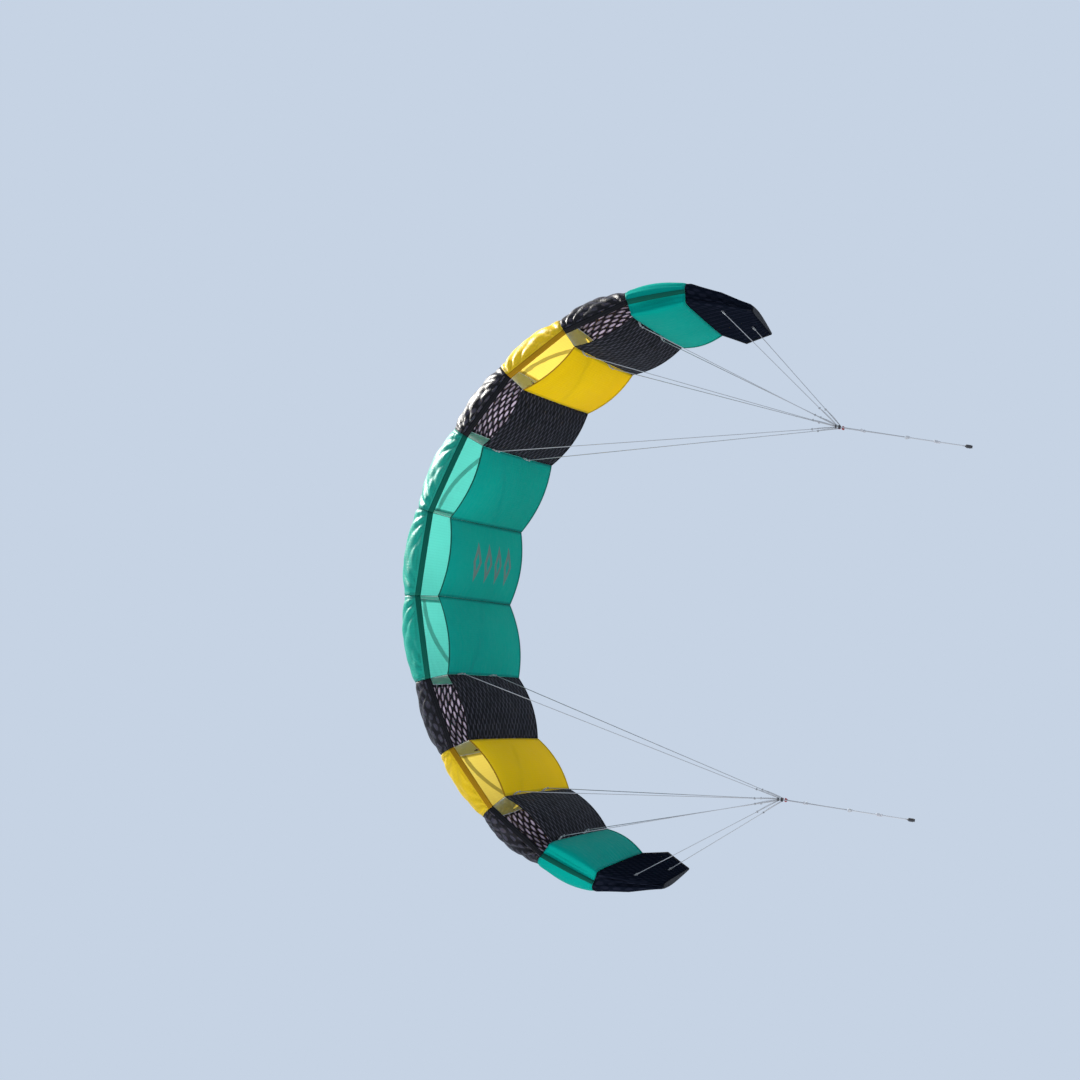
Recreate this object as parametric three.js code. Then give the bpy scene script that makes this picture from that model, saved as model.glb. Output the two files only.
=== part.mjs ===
// Two-line ram-air foil kite in flight: a 13-cell canopy of upper and lower skins on 14 ribs,
// a two-row bridle of 16 lines, four pigtails and two flying lines.
//
// Millimetres. +Z is up, away from the flyer, +X is the right wing and +Y is the trailing edge.
// The origin is on the lower lip of the centre cell. Ribs are numbered 1 to 7 and cells
// 1 to 6 from the centre of the canopy out to each tip; bridle lines 1 to 4 in the same way.
import * as THREE from 'three';

// ---------------------------------------------------------------- driving dimensions
const CELL_WIDTHS = [79, 158, 138, 134, 130, 109, 131];
const CELL_LEANS = [0, 16, 27, 41.5, 54, 67, 88];
const RIB_CHORDS = [540, 533, 512, 477, 425, 361, 220];
const SWEEP_SHARE = 0.22;
const CENTRE_PITCH = 2.7;
const TIP_PITCH_GAIN = 5.6;
const RIB_THICKNESSES = [84, 83, 79, 73, 61, 47, 12];

const FABRIC = 1.5;
const RIB_FABRIC = 1.5;
const SEWING_GAP = 0.35;
const TRAILING_EDGE_HEIGHT = 2.3;

const UPPER_BILLOW = 0.13;
const LIP_BILLOW = 0.04;
const LOWER_BILLOW = 0.09;
const EDGE_BILLOW = 0.07;
const TIP_EDGE_BILLOW = 0.14;

const FRONT_ROW = 0.127;
const REAR_ROW = 0.56;
const TAB_WIDTH = 14;
const TAB_DROP = 10;
const LINE_GAP = 1.2;
const TIP_TABS = { front: [0.5, 0.12], rear: [0.8, 0.6] };
const BRIDLED_RIBS = [2, 4, 5];
const LAST_OPEN_CELL = 4;

const GATHER = { x: 376, y: { front: 108, rear: 150 }, z: -734 };
const MERGE = { y: 129, z: -868 };
const LINE_RADIUS = 0.75;
const PIGTAIL_RADIUS = 1;
const FLYING_LINE_RADIUS = 1.25;
const KNOT_RADIUS = 5;
const LINE_SPREAD = 3.2;
const PIGTAIL_SPREAD = 2.4;
const FLYING_LINE_LENGTH = 118;
const LINE_END_LENGTH = 16;
const LINE_END_RADIUS = 4;

const SPAN_STEPS = 4;
const UPPER_STEPS = 8;
const LOWER_STEPS = 4;
const VENT_STEPS = 6;
const SIDES = 8;
const LINE_STEPS = 8;

const VENT = { at: 0.42, height: 0.44, radius: 0.26 };
const LAST_VENTED_RIB = 6;

// Outlines in shares of chord and of thickness: the upper one runs from the upper lip of the
// air intake over the nose to the trailing edge, the lower one from the lower lip back.
const UPPER_OUTLINE = [
  [-0.01, 0.43], [-0.016, 0.62], [0.008, 0.8], [0.06, 0.93], [0.15, 0.99],
  [0.28, 1], [0.48, 0.83], [0.73, 0.46], [1, 0],
];
const LOWER_OUTLINE = [[0, 0], [0.25, -0.02], [0.5, -0.03], [0.75, -0.02], [1, 0]];
const CLOSED_NOSE = [-0.012, 0.22];

// ---------------------------------------------------------------- finishes
const FINISHES = {
  green: { color: 0x00907c, roughness: 0.62, metalness: 0 },
  yellow: { color: 0xd9b400, roughness: 0.62, metalness: 0 },
  black: { color: 0x1d1b20, roughness: 0.58, metalness: 0 },
  pale: { color: 0xb9bdb6, roughness: 0.6, metalness: 0 },
  line: { color: 0xc9cdd2, roughness: 0.7, metalness: 0 },
  knot: { color: 0x3a3a40, roughness: 0.8, metalness: 0 },
};
const CELL_FINISHES = ['green', 'green', 'black', 'yellow', 'black', 'green', 'black'];
const RIB_FINISHES = [null, 'pale', 'pale', 'pale', 'pale', 'pale', 'pale', 'black'];
const SIDES_OF_KITE = { right: 1, left: -1 };

const kite = new THREE.Group();

function addPiece(name, geometry, finish) {
  const mesh = new THREE.Mesh(geometry, new THREE.MeshStandardMaterial(FINISHES[finish]));
  mesh.name = name;
  kite.add(mesh);
  return mesh;
}

// ---------------------------------------------------------------- where the ribs stand
// Walks out from the centre, one cell width at a time, and gives each rib its place, the
// direction of its chord, the direction out of the arc, its chord and its thickness.
function ribStations() {
  const stations = [];
  let x = 0;
  let z = 0;
  CELL_WIDTHS.forEach((width, i) => {
    const lean = THREE.MathUtils.degToRad(CELL_LEANS[i]);
    x += width * Math.cos(lean);
    z -= width * Math.sin(lean);
    const next = CELL_LEANS[Math.min(i + 1, CELL_LEANS.length - 1)];
    const outward = i / (CELL_WIDTHS.length - 1);
    const chord = RIB_CHORDS[i];
    stations.push({
      x, z, chord,
      y: SWEEP_SHARE * (RIB_CHORDS[0] - chord),
      lean: THREE.MathUtils.degToRad((CELL_LEANS[i] + next) / 2),
      pitch: THREE.MathUtils.degToRad(CENTRE_PITCH + TIP_PITCH_GAIN * outward * outward),
      thickness: RIB_THICKNESSES[i],
    });
  });
  return stations;
}
const STATIONS = ribStations();

function ribFrame(number, side) {
  const station = STATIONS[number - 1];
  const out = new THREE.Vector3(side * Math.sin(station.lean), 0, Math.cos(station.lean));
  const along = new THREE.Vector3(0, Math.cos(station.pitch), 0)
    .addScaledVector(out, -Math.sin(station.pitch));
  const up = new THREE.Vector3(0, Math.sin(station.pitch), 0)
    .addScaledVector(out, Math.cos(station.pitch));
  const lip = new THREE.Vector3(side * station.x, station.y, station.z);
  return { lip, along, up, chord: station.chord, thickness: station.thickness };
}

function inFrame(frame, alongMm, upMm) {
  return frame.lip.clone().addScaledVector(frame.along, alongMm).addScaledVector(frame.up, upMm);
}

// ---------------------------------------------------------------- the section of a cell
// A section is a spline of [share of chord, share of thickness] that runs with the outside
// of the fabric on its left, with the steps that its skin takes along it, and the share of
// the spline from which it is the upper skin.
function section(points, upperFrom) {
  const spline = new THREE.SplineCurve(points.map(([a, h]) => new THREE.Vector2(a, h)));
  return { spline, steps: points.length - 1, upperFrom };
}
const FORWARD_BELOW = [...LOWER_OUTLINE].reverse();
const UPPER = section(UPPER_OUTLINE, 0);
const LOWER = section(FORWARD_BELOW, 2);
const WRAP = section([...FORWARD_BELOW, CLOSED_NOSE, ...UPPER_OUTLINE], 0.37);

// A point of a section in millimetres behind the lower lip and above the chord line. The two
// skins stay a little apart, so that they meet at the trailing edge without touching.
function sectionPoint(profile, t, frame) {
  const p = profile.spline.getPoint(t);
  const share = THREE.MathUtils.clamp(p.x, 0, 1);
  const rise = t >= profile.upperFrom ? TRAILING_EDGE_HEIGHT * share
    : -FABRIC * Math.min(share * 8, 1);
  return new THREE.Vector2(p.x * frame.chord, p.y * frame.thickness + rise);
}

// The fabric of one rib's section at t: where it is, the way out of it, and on which side.
function fabricPoint(frame, profile, t) {
  const step = 0.004;
  const p = sectionPoint(profile, t, frame);
  const before = sectionPoint(profile, Math.max(t - step, 0), frame);
  const run = sectionPoint(profile, Math.min(t + step, 1), frame).sub(before).normalize();
  const normal = frame.along.clone().multiplyScalar(-run.y).addScaledVector(frame.up, run.x);
  return { at: inFrame(frame, p.x, p.y), normal, share: p.x / frame.chord, above: run.x > 0 };
}

// ---------------------------------------------------------------- how the skins billow
// Each of these gives the height of the billow, in shares of the cell's width, at a share of
// the chord. Both skins end at the same place on the trailing edge.
function upperBillow(share) {
  if (share < 0.25) return UPPER_BILLOW - (UPPER_BILLOW - LIP_BILLOW) * ((0.25 - share) / 0.26) ** 2;
  return UPPER_BILLOW - (UPPER_BILLOW + EDGE_BILLOW) * ((share - 0.25) / 0.75) ** 2;
}

function lowerBillow(share) {
  return EDGE_BILLOW + (LOWER_BILLOW - EDGE_BILLOW) * 4 * share * (1 - share);
}

function cellBillow(share, above) {
  return above ? upperBillow(share) : lowerBillow(share);
}

function tipBillow(share, above) {
  const edge = THREE.MathUtils.clamp(share, 0, 1) ** 2;
  return above ? LIP_BILLOW - edge * (TIP_EDGE_BILLOW + LIP_BILLOW) : edge * TIP_EDGE_BILLOW;
}

const rounded = (across) => 4 * across * (1 - across);
const peaked = (across) => 1 - Math.abs(2 * across - 1);

// ---------------------------------------------------------------- skins
// A cell's two ribs and its width along the arc. Cell 0 is the centre one.
function cellBetween(number, side) {
  const inner = number === 0 ? ribFrame(1, -side) : ribFrame(number, side);
  const outer = ribFrame(number + 1, side);
  const span = outer.lip.clone().sub(inner.lip);
  return { inner, outer, width: Math.hypot(span.x, span.z) };
}

// The outside of the fabric of a cell, a share of the way across it and along its section.
function cellPoint(cell, profile, across, t, billowOf, acrossShape) {
  const a = fabricPoint(cell.inner, profile, t);
  const b = fabricPoint(cell.outer, profile, t);
  const normal = a.normal.lerp(b.normal, across).normalize();
  const billow = billowOf(a.share, a.above) * cell.width * acrossShape(across);
  return { at: a.at.lerp(b.at, across).addScaledVector(normal, billow), normal };
}

// One skin between two ribs: a box with a grid of faces is bent onto the cell. Its x runs
// across the cell, y along the section and z from the inside to the outside of the fabric.
function skinGeometry(cell, profile, billowOf = cellBillow, acrossShape = rounded) {
  const inset = (RIB_FABRIC / 2 + SEWING_GAP) / cell.width;
  const geometry = new THREE.BoxGeometry(1, 1, 1, SPAN_STEPS, profile.steps, 1);
  const position = geometry.getAttribute('position');
  for (let i = 0; i < position.count; i += 1) {
    const across = inset + (1 - 2 * inset) * (position.getX(i) + 0.5);
    const t = position.getY(i) + 0.5;
    const depth = (0.5 - position.getZ(i)) * FABRIC;
    const { at, normal } = cellPoint(cell, profile, across, t, billowOf, acrossShape);
    at.addScaledVector(normal, -depth);
    position.setXYZ(i, at.x, at.y, at.z);
  }
  splitInsideLikeOutside(geometry);
  return facingOut(geometry);
}

// A box splits the squares of two opposite sides along crossing diagonals. On a strongly
// twisted square the thin fabric's two walls would pass through each other, so the inside's
// squares (the box's last group) are split along the outside's diagonals.
function splitInsideLikeOutside(geometry) {
  const index = geometry.getIndex();
  const inside = geometry.groups[5];
  for (let i = inside.start; i < inside.start + inside.count; i += 6) {
    index.setX(i + 2, index.getX(i + 4));
    index.setX(i + 3, index.getX(i));
  }
}

// Turns the faces round where bending the box has mirrored it.
function facingOut(geometry) {
  const position = geometry.getAttribute('position');
  const index = geometry.getIndex();
  const corners = [0, 1, 2].map(() => new THREE.Vector3());
  let volume = 0;
  for (let i = 0; i < index.count; i += 3) {
    corners.forEach((corner, c) => corner.fromBufferAttribute(position, index.getX(i + c)));
    volume += corners[0].dot(corners[1].cross(corners[2]));
  }
  for (let i = 0; volume < 0 && i < index.count; i += 3) {
    const first = index.getX(i);
    index.setX(i, index.getX(i + 1));
    index.setX(i + 1, first);
  }
  geometry.computeVertexNormals();
  return geometry;
}

// ---------------------------------------------------------------- ribs
function steps(count) {
  return [...Array(count + 1).keys()].map((i) => i / count);
}

function lowerEdge(frame) {
  return steps(LOWER_STEPS).map((t) => sectionPoint(LOWER, 1 - t, frame));
}

function heightOnEdge(edge, x) {
  const next = Math.max(edge.findIndex((p) => p.x >= x), 1);
  const [a, b] = [edge[next - 1], edge[next]];
  return THREE.MathUtils.mapLinear(x, a.x, b.x, a.y, b.y);
}

// A sewn tab narrows from the lower edge of its rib down to the bridle line.
function tabCorners(frame, edge, share) {
  const middle = share * frame.chord;
  const half = TAB_WIDTH / 2;
  const low = heightOnEdge(edge, middle) - TAB_DROP;
  return [[-half, 0], [-half / 2, low], [half / 2, low], [half, 0]].map(([dx, y]) => (
    new THREE.Vector2(middle + dx, y || heightOnEdge(edge, middle + dx))
  ));
}

// A rib is a flat plate of the section's outline, with a vent between its cells and, where
// it carries the bridle, two tabs.
function addRib(side, name, number) {
  const frame = ribFrame(number, side);
  const edge = lowerEdge(frame);
  const tabs = BRIDLED_RIBS.includes(number) ? [FRONT_ROW, REAR_ROW] : [];
  const below = [...edge, ...tabs.flatMap((share) => tabCorners(frame, edge, share))];
  below.sort((p, q) => p.x - q.x);
  const above = steps(UPPER_STEPS).map((t) => sectionPoint(UPPER, 1 - t, frame));
  const shape = new THREE.Shape([...below, ...above]);
  if (number <= LAST_VENTED_RIB) {
    const vent = new THREE.Path();
    const radius = VENT.radius * frame.thickness;
    vent.absarc(VENT.at * frame.chord, VENT.height * frame.thickness, radius, 0, 2 * Math.PI, true);
    shape.holes.push(vent);
  }
  const geometry = new THREE.ExtrudeGeometry(shape, {
    depth: RIB_FABRIC, bevelEnabled: false, curveSegments: VENT_STEPS,
  });
  geometry.translate(0, 0, -RIB_FABRIC / 2);
  const rib = addPiece(`${name}_rib_${number}`, geometry, RIB_FINISHES[number]);
  const across = frame.along.clone().cross(frame.up);
  rib.quaternion.setFromRotationMatrix(new THREE.Matrix4().makeBasis(frame.along, frame.up, across));
  rib.position.copy(frame.lip);
}

// ---------------------------------------------------------------- bridle and flying lines
function tabPoint(frame, share) {
  const edge = lowerEdge(frame);
  const along = share * frame.chord;
  return inFrame(frame, along, heightOnEdge(edge, along) - TAB_DROP);
}

// Where each line of a row meets the canopy: three ribs' tabs, then the tip cell's own.
function rowTabs(side, row) {
  const share = row === 'front' ? FRONT_ROW : REAR_ROW;
  const points = BRIDLED_RIBS.map((number) => tabPoint(ribFrame(number, side), share));
  const tip = cellBetween(RIB_CHORDS.length - 1, side);
  const [across, tipShare] = TIP_TABS[row];
  points.push(cellPoint(tip, LOWER, across, 1 - tipShare, tipBillow, peaked).at);
  return points;
}

function addLine(name, from, to) {
  const outline = steps(SIDES).slice(1).map((turn) => new THREE.Vector2(
    LINE_RADIUS * Math.cos(2 * Math.PI * turn),
    LINE_RADIUS * Math.sin(2 * Math.PI * turn),
  ));
  const geometry = new THREE.ExtrudeGeometry(new THREE.Shape(outline), {
    extrudePath: new THREE.LineCurve3(from, to), steps: LINE_STEPS,
  });
  addPiece(name, geometry, 'line');
}

// A cord that hangs from its own knot: the knot's middle is at top.
function addKnottedCord(name, top, bottom, radius, finish) {
  const length = top.distanceTo(bottom);
  const knot = steps(SIDES / 2).map((turn) => {
    const angle = THREE.MathUtils.lerp(-1.2, Math.PI / 2, turn);
    return new THREE.Vector2(KNOT_RADIUS * Math.cos(angle), length + KNOT_RADIUS * Math.sin(angle));
  });
  knot[knot.length - 1].x = 0;
  const neck = new THREE.Vector2(radius, length - KNOT_RADIUS * 1.2);
  const profile = [new THREE.Vector2(0, 0), new THREE.Vector2(radius, 0), neck, ...knot];
  const cord = addPiece(name, new THREE.LatheGeometry(profile, SIDES), finish);
  const way = top.clone().sub(bottom).normalize();
  cord.quaternion.setFromUnitVectors(new THREE.Vector3(0, 1, 0), way);
  cord.position.copy(bottom);
}

function addBridleRow(side, name, row) {
  const gather = new THREE.Vector3(side * GATHER.x, GATHER.y[row], GATHER.z);
  rowTabs(side, row).forEach((tab, i) => {
    const end = gather.clone();
    end.x += side * LINE_SPREAD * (i - 1.5);
    end.z += KNOT_RADIUS + LINE_GAP;
    const start = tab.clone().lerp(end, LINE_GAP / tab.distanceTo(end));
    addLine(`${name}_${row}_line_${i + 1}`, start, end);
  });
  const merge = new THREE.Vector3(side * GATHER.x, MERGE.y, MERGE.z + KNOT_RADIUS + LINE_GAP);
  merge.y += PIGTAIL_SPREAD * Math.sign(gather.y - merge.y);
  addKnottedCord(`${name}_${row}_pigtail`, gather, merge, PIGTAIL_RADIUS, 'knot');
}

// The flying line starts at the knot that joins the two pigtails and ends in a stopper.
function addFlyingLine(side, name) {
  const top = new THREE.Vector3(side * GATHER.x, MERGE.y, MERGE.z);
  const bottom = top.clone().setZ(MERGE.z - FLYING_LINE_LENGTH);
  addKnottedCord(`${name}_flying_line`, top, bottom, FLYING_LINE_RADIUS, 'line');
  const outline = [
    [0, 0], [LINE_END_RADIUS, 0], [LINE_END_RADIUS, LINE_END_LENGTH - 3],
    [FLYING_LINE_RADIUS, LINE_END_LENGTH], [0, LINE_END_LENGTH],
  ].map(([r, y]) => new THREE.Vector2(r, y));
  const stopper = addPiece(`${name}_line_end`, new THREE.LatheGeometry(outline, SIDES), 'knot');
  stopper.rotation.x = Math.PI / 2;
  stopper.position.copy(bottom).z -= LINE_END_LENGTH + SEWING_GAP;
}

// ---------------------------------------------------------------- the kite
function addOpenCell(side, name, number) {
  const cell = cellBetween(number, side);
  const suffix = number === 0 ? '' : `_${number}`;
  addPiece(`${name}_upper_skin${suffix}`, skinGeometry(cell, UPPER), CELL_FINISHES[number]);
  addPiece(`${name}_lower_skin${suffix}`, skinGeometry(cell, LOWER), CELL_FINISHES[number]);
}

addOpenCell(1, 'centre', 0);
for (const [name, side] of Object.entries(SIDES_OF_KITE)) {
  for (let number = 1; number <= LAST_OPEN_CELL; number += 1) addOpenCell(side, name, number);
  const closed = skinGeometry(cellBetween(5, side), WRAP);
  addPiece(`${name}_closed_cell_5`, closed, CELL_FINISHES[5]);
  const tip = skinGeometry(cellBetween(6, side), WRAP, tipBillow, peaked);
  addPiece(`${name}_tip_cell_6`, tip, CELL_FINISHES[6]);
  STATIONS.forEach((_, i) => addRib(side, name, i + 1));
  addBridleRow(side, name, 'front');
  addBridleRow(side, name, 'rear');
  addFlyingLine(side, name);
}

export default kite;
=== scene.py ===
"""Looks for a two-line ram-air foil kite in flight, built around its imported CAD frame.

The canopy is thirteen inflated cells of thin ripstop on fourteen ribs. Sixteen bridle lines
gather into four pigtails, and each pair of pigtails into a flying line.

Sizes are in metres. +Z is up, away from the flyer, +X is the right wing and +Y the trailing
edge. The origin is on the lower lip of the centre cell. Ribs are numbered 1 to 7 and cells
1 to 6 from the centre out to each tip.
"""

import logging
import math
from dataclasses import dataclass, field, replace
from enum import Enum
from functools import cached_property
from typing import Callable, Iterable, Sequence

import bmesh
import bpy
from mathutils import Matrix, Vector, noise


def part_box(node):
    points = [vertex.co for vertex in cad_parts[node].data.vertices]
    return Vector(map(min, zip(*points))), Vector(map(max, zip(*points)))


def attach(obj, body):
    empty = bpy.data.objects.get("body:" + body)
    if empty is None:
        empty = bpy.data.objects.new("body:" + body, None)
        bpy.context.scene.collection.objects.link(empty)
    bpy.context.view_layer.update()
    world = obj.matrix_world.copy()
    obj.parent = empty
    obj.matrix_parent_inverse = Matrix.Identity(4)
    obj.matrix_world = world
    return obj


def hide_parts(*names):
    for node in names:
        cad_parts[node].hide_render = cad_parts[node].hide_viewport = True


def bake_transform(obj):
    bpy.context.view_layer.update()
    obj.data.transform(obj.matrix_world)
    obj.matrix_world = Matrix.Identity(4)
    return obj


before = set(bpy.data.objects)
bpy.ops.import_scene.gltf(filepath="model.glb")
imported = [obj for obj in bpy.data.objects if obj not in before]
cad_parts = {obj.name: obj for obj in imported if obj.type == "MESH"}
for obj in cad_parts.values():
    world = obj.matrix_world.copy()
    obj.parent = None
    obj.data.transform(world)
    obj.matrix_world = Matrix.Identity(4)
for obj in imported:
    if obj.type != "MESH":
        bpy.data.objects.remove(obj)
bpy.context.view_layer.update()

LOG = logging.getLogger("kite")
CLOTH_UV = "cloth"
SEAM_ATTRIBUTE = "seam_distance"
TOLERANCE = 1e-5

Colour = tuple[float, float, float]
Share = tuple[float, float]
Strand = tuple[Sequence[Vector], float, int]


def blend_between(low: float, high: float, value: float) -> float:
    """Smooth step from 0 at low to 1 at high."""
    x = min(max((value - low) / (high - low), 0.0), 1.0)
    return x * x * (3 - 2 * x)


def steps(count: int) -> list[float]:
    """Evenly spaced shares from 0 to 1, count steps apart."""
    return [i / count for i in range(count + 1)]


def path_length(points: Sequence[Vector]) -> float:
    """Length of a path along its points."""
    return sum((b - a).length for a, b in zip(points, points[1:]))


# ------------------------------------------------------------------------------ the plan
class Side(Enum):
    """A wing of the kite."""

    RIGHT = "right"
    LEFT = "left"

    @property
    def sign(self) -> int:
        """+1 on the right wing, towards +X, and -1 on the left."""
        return 1 if self is Side.RIGHT else -1


class Row(Enum):
    """A row of the bridle."""

    FRONT = "front"
    REAR = "rear"


@dataclass(frozen=True)
class RibFrame:
    """Where a rib stands: its lower lip, its chord's direction and the way up its plane."""

    lip: Vector
    along: Vector
    up: Vector
    chord: float
    thickness: float

    def place(self, along: float, up: float) -> Vector:
        """The point that is that far along the chord and that far above it."""
        return self.lip + self.along * along + self.up * up

    @property
    def across(self) -> Vector:
        """The direction square to the rib's plane."""
        return self.along.cross(self.up)


@dataclass(frozen=True)
class Section:
    """A spline of shares of chord and thickness, with the outside of the fabric on its left.

    Attributes:
        points: the outline's points.
        upper_from: the share of the spline from which it belongs to the upper skin.
    """

    points: tuple[Share, ...]
    upper_from: float

    def share(self, t: float) -> Share:
        """The point of the uniform Catmull-Rom spline at t, from 0 to 1."""
        last = len(self.points) - 1
        place = t * last
        i = min(int(place), last)
        w = place - i
        ring = [self.points[min(max(i + k, 0), last)] for k in (-1, 0, 1, 2)]
        return tuple(self._curve(w, *axis) for axis in zip(*ring))

    @staticmethod
    def _curve(w: float, a: float, b: float, c: float, d: float) -> float:
        """One coordinate of a Catmull-Rom span from b to c."""
        v0, v1 = (c - a) / 2, (d - b) / 2
        return (2 * b - 2 * c + v0 + v1) * w**3 + (-3 * b + 3 * c - 2 * v0 - v1) * w * w + v0 * w + b


@dataclass(frozen=True)
class Plan:
    """The kite's driving sizes, the same as the CAD's."""

    cell_widths: tuple[float, ...] = (0.079, 0.158, 0.138, 0.134, 0.130, 0.109, 0.131)
    cell_leans: tuple[float, ...] = (0, 16, 27, 41.5, 54, 67, 88)
    chords: tuple[float, ...] = (0.540, 0.533, 0.512, 0.477, 0.425, 0.361, 0.220)
    thicknesses: tuple[float, ...] = (0.084, 0.083, 0.079, 0.073, 0.061, 0.047, 0.012)
    sweep_share: float = 0.22
    centre_pitch: float = 2.7
    tip_pitch_gain: float = 5.6
    upper_rise: float = 0.0023
    lower_drop: float = 0.0015
    drop_spread: float = 8.0
    upper_outline: tuple[Share, ...] = (
        (-0.01, 0.43), (-0.016, 0.62), (0.008, 0.8), (0.06, 0.93), (0.15, 0.99),
        (0.28, 1), (0.48, 0.83), (0.73, 0.46), (1, 0),
    )
    lower_outline: tuple[Share, ...] = ((1, 0), (0.75, -0.02), (0.5, -0.03), (0.25, -0.02), (0, 0))
    closed_nose: Share = (-0.012, 0.22)
    upper_billow: float = 0.13
    lip_billow: float = 0.04
    lower_billow: float = 0.09
    edge_billow: float = 0.07
    tip_edge_billow: float = 0.14
    front_row: float = 0.127
    rear_row: float = 0.56
    bridled_ribs: tuple[int, ...] = (2, 4, 5)
    last_open_cell: int = 4
    last_cell: int = 6
    last_vented_rib: int = 6
    last_centre_rib: int = 2
    last_wing_rib: int = 5

    @cached_property
    def upper(self) -> Section:
        """The upper skin's section, from the upper lip of the intake to the trailing edge."""
        return Section(self.upper_outline, 0)

    @cached_property
    def lower(self) -> Section:
        """The lower skin's section, from the trailing edge to the lower lip."""
        return Section(self.lower_outline, 2)

    @cached_property
    def wrap(self) -> Section:
        """The section of a cell with a closed nose, from trailing edge to trailing edge."""
        return Section((*self.lower_outline, self.closed_nose, *self.upper_outline), 0.37)

    @property
    def nose_seam(self) -> float:
        """Where a closed nose's seam lies on the wrapped section."""
        return (len(self.lower_outline) + 1) / (len(self.wrap.points) - 1)

    @property
    def row_shares(self) -> dict[Row, float]:
        """The share of the chord at which each row of the bridle meets the ribs."""
        return {Row.FRONT: self.front_row, Row.REAR: self.rear_row}

    @cached_property
    def stations(self) -> list[tuple[float, float, float, float]]:
        """Each rib's x and z, its lean and its pitch, walking out along the arc."""
        found, x, z = [], 0.0, 0.0
        last = len(self.cell_widths) - 1
        for i, width in enumerate(self.cell_widths):
            lean = math.radians(self.cell_leans[i])
            x += width * math.cos(lean)
            z -= width * math.sin(lean)
            rib_lean = math.radians((self.cell_leans[i] + self.cell_leans[min(i + 1, last)]) / 2)
            pitch = math.radians(self.centre_pitch + self.tip_pitch_gain * (i / last) ** 2)
            found.append((x, z, rib_lean, pitch))
        return found

    def rib(self, number: int, side: Side) -> RibFrame:
        """The frame of a rib.

        Args:
            number: 1 by the centre cell to 7 at the tip.
            side: the wing that it is on.

        Returns:
            Its place, directions, chord and thickness.
        """
        x, z, lean, pitch = self.stations[number - 1]
        chord = self.chords[number - 1]
        out = Vector((side.sign * math.sin(lean), 0, math.cos(lean)))
        along = Vector((0, math.cos(pitch), 0)) - out * math.sin(pitch)
        up = Vector((0, math.sin(pitch), 0)) + out * math.cos(pitch)
        lip = Vector((side.sign * x, self.sweep_share * (self.chords[0] - chord), z))
        return RibFrame(lip, along, up, chord, self.thicknesses[number - 1])

    def rib_body(self, number: int, side: Side) -> str:
        """The CAD body that a rib belongs to."""
        if number <= self.last_centre_rib:
            return "canopy_centre"
        return f"{side.value}_wing" if number <= self.last_wing_rib else f"{side.value}_tip"

    def on_section(self, rib: RibFrame, section: Section, t: float) -> Share:
        """Distance behind the rib's lip and above its chord of a point of a section."""
        x, y = section.share(t)
        share = min(max(x, 0.0), 1.0)
        upper = t >= section.upper_from
        rise = self.upper_rise * share if upper else -self.lower_drop * min(share * self.drop_spread, 1)
        return x * rib.chord, y * rib.thickness + rise

    def lower_height(self, rib: RibFrame, share: float) -> float:
        """Height of the rib's lower edge above its chord, at a share of the chord."""
        near, far = 0.0, 1.0
        while far - near > TOLERANCE:
            middle = (near + far) / 2
            near, far = (middle, far) if self.lower.share(middle)[0] > share else (near, middle)
        return self.on_section(rib, self.lower, near)[1]


PLAN = Plan()


# ------------------------------------------------------------------- surfaces of the cells
@dataclass(frozen=True)
class Pucker:
    """How thread pulls inflated ripstop into folds beside a seam."""

    nose_height: float = 0.0056
    rear_height: float = 0.0014
    lower_height: float = 0.0015
    fold: float = 0.024
    crease: float = 0.0095
    reach: float = 0.040
    short_reach: float = 0.013
    held: float = 0.0045
    fan_start: float = 0.006
    fan_folds: float = 9.0
    fan_height: float = 0.0125
    fan_reach: float = 0.066
    fan_share: float = 0.75
    dent: float = 0.0022
    dent_size: float = 0.085

    def fanned(self, gap: float, run: float, seed: float) -> float:
        """Relative height of the folds that fan out from a seam's end at the lip."""
        run += self.fan_start
        far, angle = math.hypot(gap, run), math.atan2(run, gap)
        wander = noise.noise(Vector((far * 8, seed * 2.3, 11.0)))
        ridge = abs(math.sin(angle * self.fan_folds + 0.6 * wander + seed)) - 0.6
        strength = 0.8 + 0.7 * noise.noise(Vector((angle * 2, seed * 4.1, 3.2)))
        grown = 1 - math.exp(-((far / 0.020) ** 2))
        held = 1 - math.exp(-((gap / self.held) ** 2))
        return self.fan_height * ridge * strength * grown * held * math.exp(-far / self.fan_reach)

    def beside(self, gap: float, run: float, seed: float) -> float:
        """Relative height of the folds at a distance from a seam and along it."""
        wander = noise.noise(Vector((run * 16, seed * 3.7, 0.3)))
        other = noise.noise(Vector((run * 27, seed * 5.1, 7.9)))
        fold = abs(math.sin(math.pi * run / self.fold + 2.6 * wander)) - 0.62
        crease = abs(math.sin(math.pi * run / self.crease + 2.2 * other)) - 0.62
        strength = 0.75 + 0.9 * noise.noise(Vector((run * 9, seed * 1.9, 4.4)))
        held = 1 - math.exp(-((gap / self.held) ** 2))
        near, close = math.exp(-gap / self.reach), math.exp(-gap / self.short_reach)
        return held * (near * fold * strength + 0.5 * close * crease)


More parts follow.
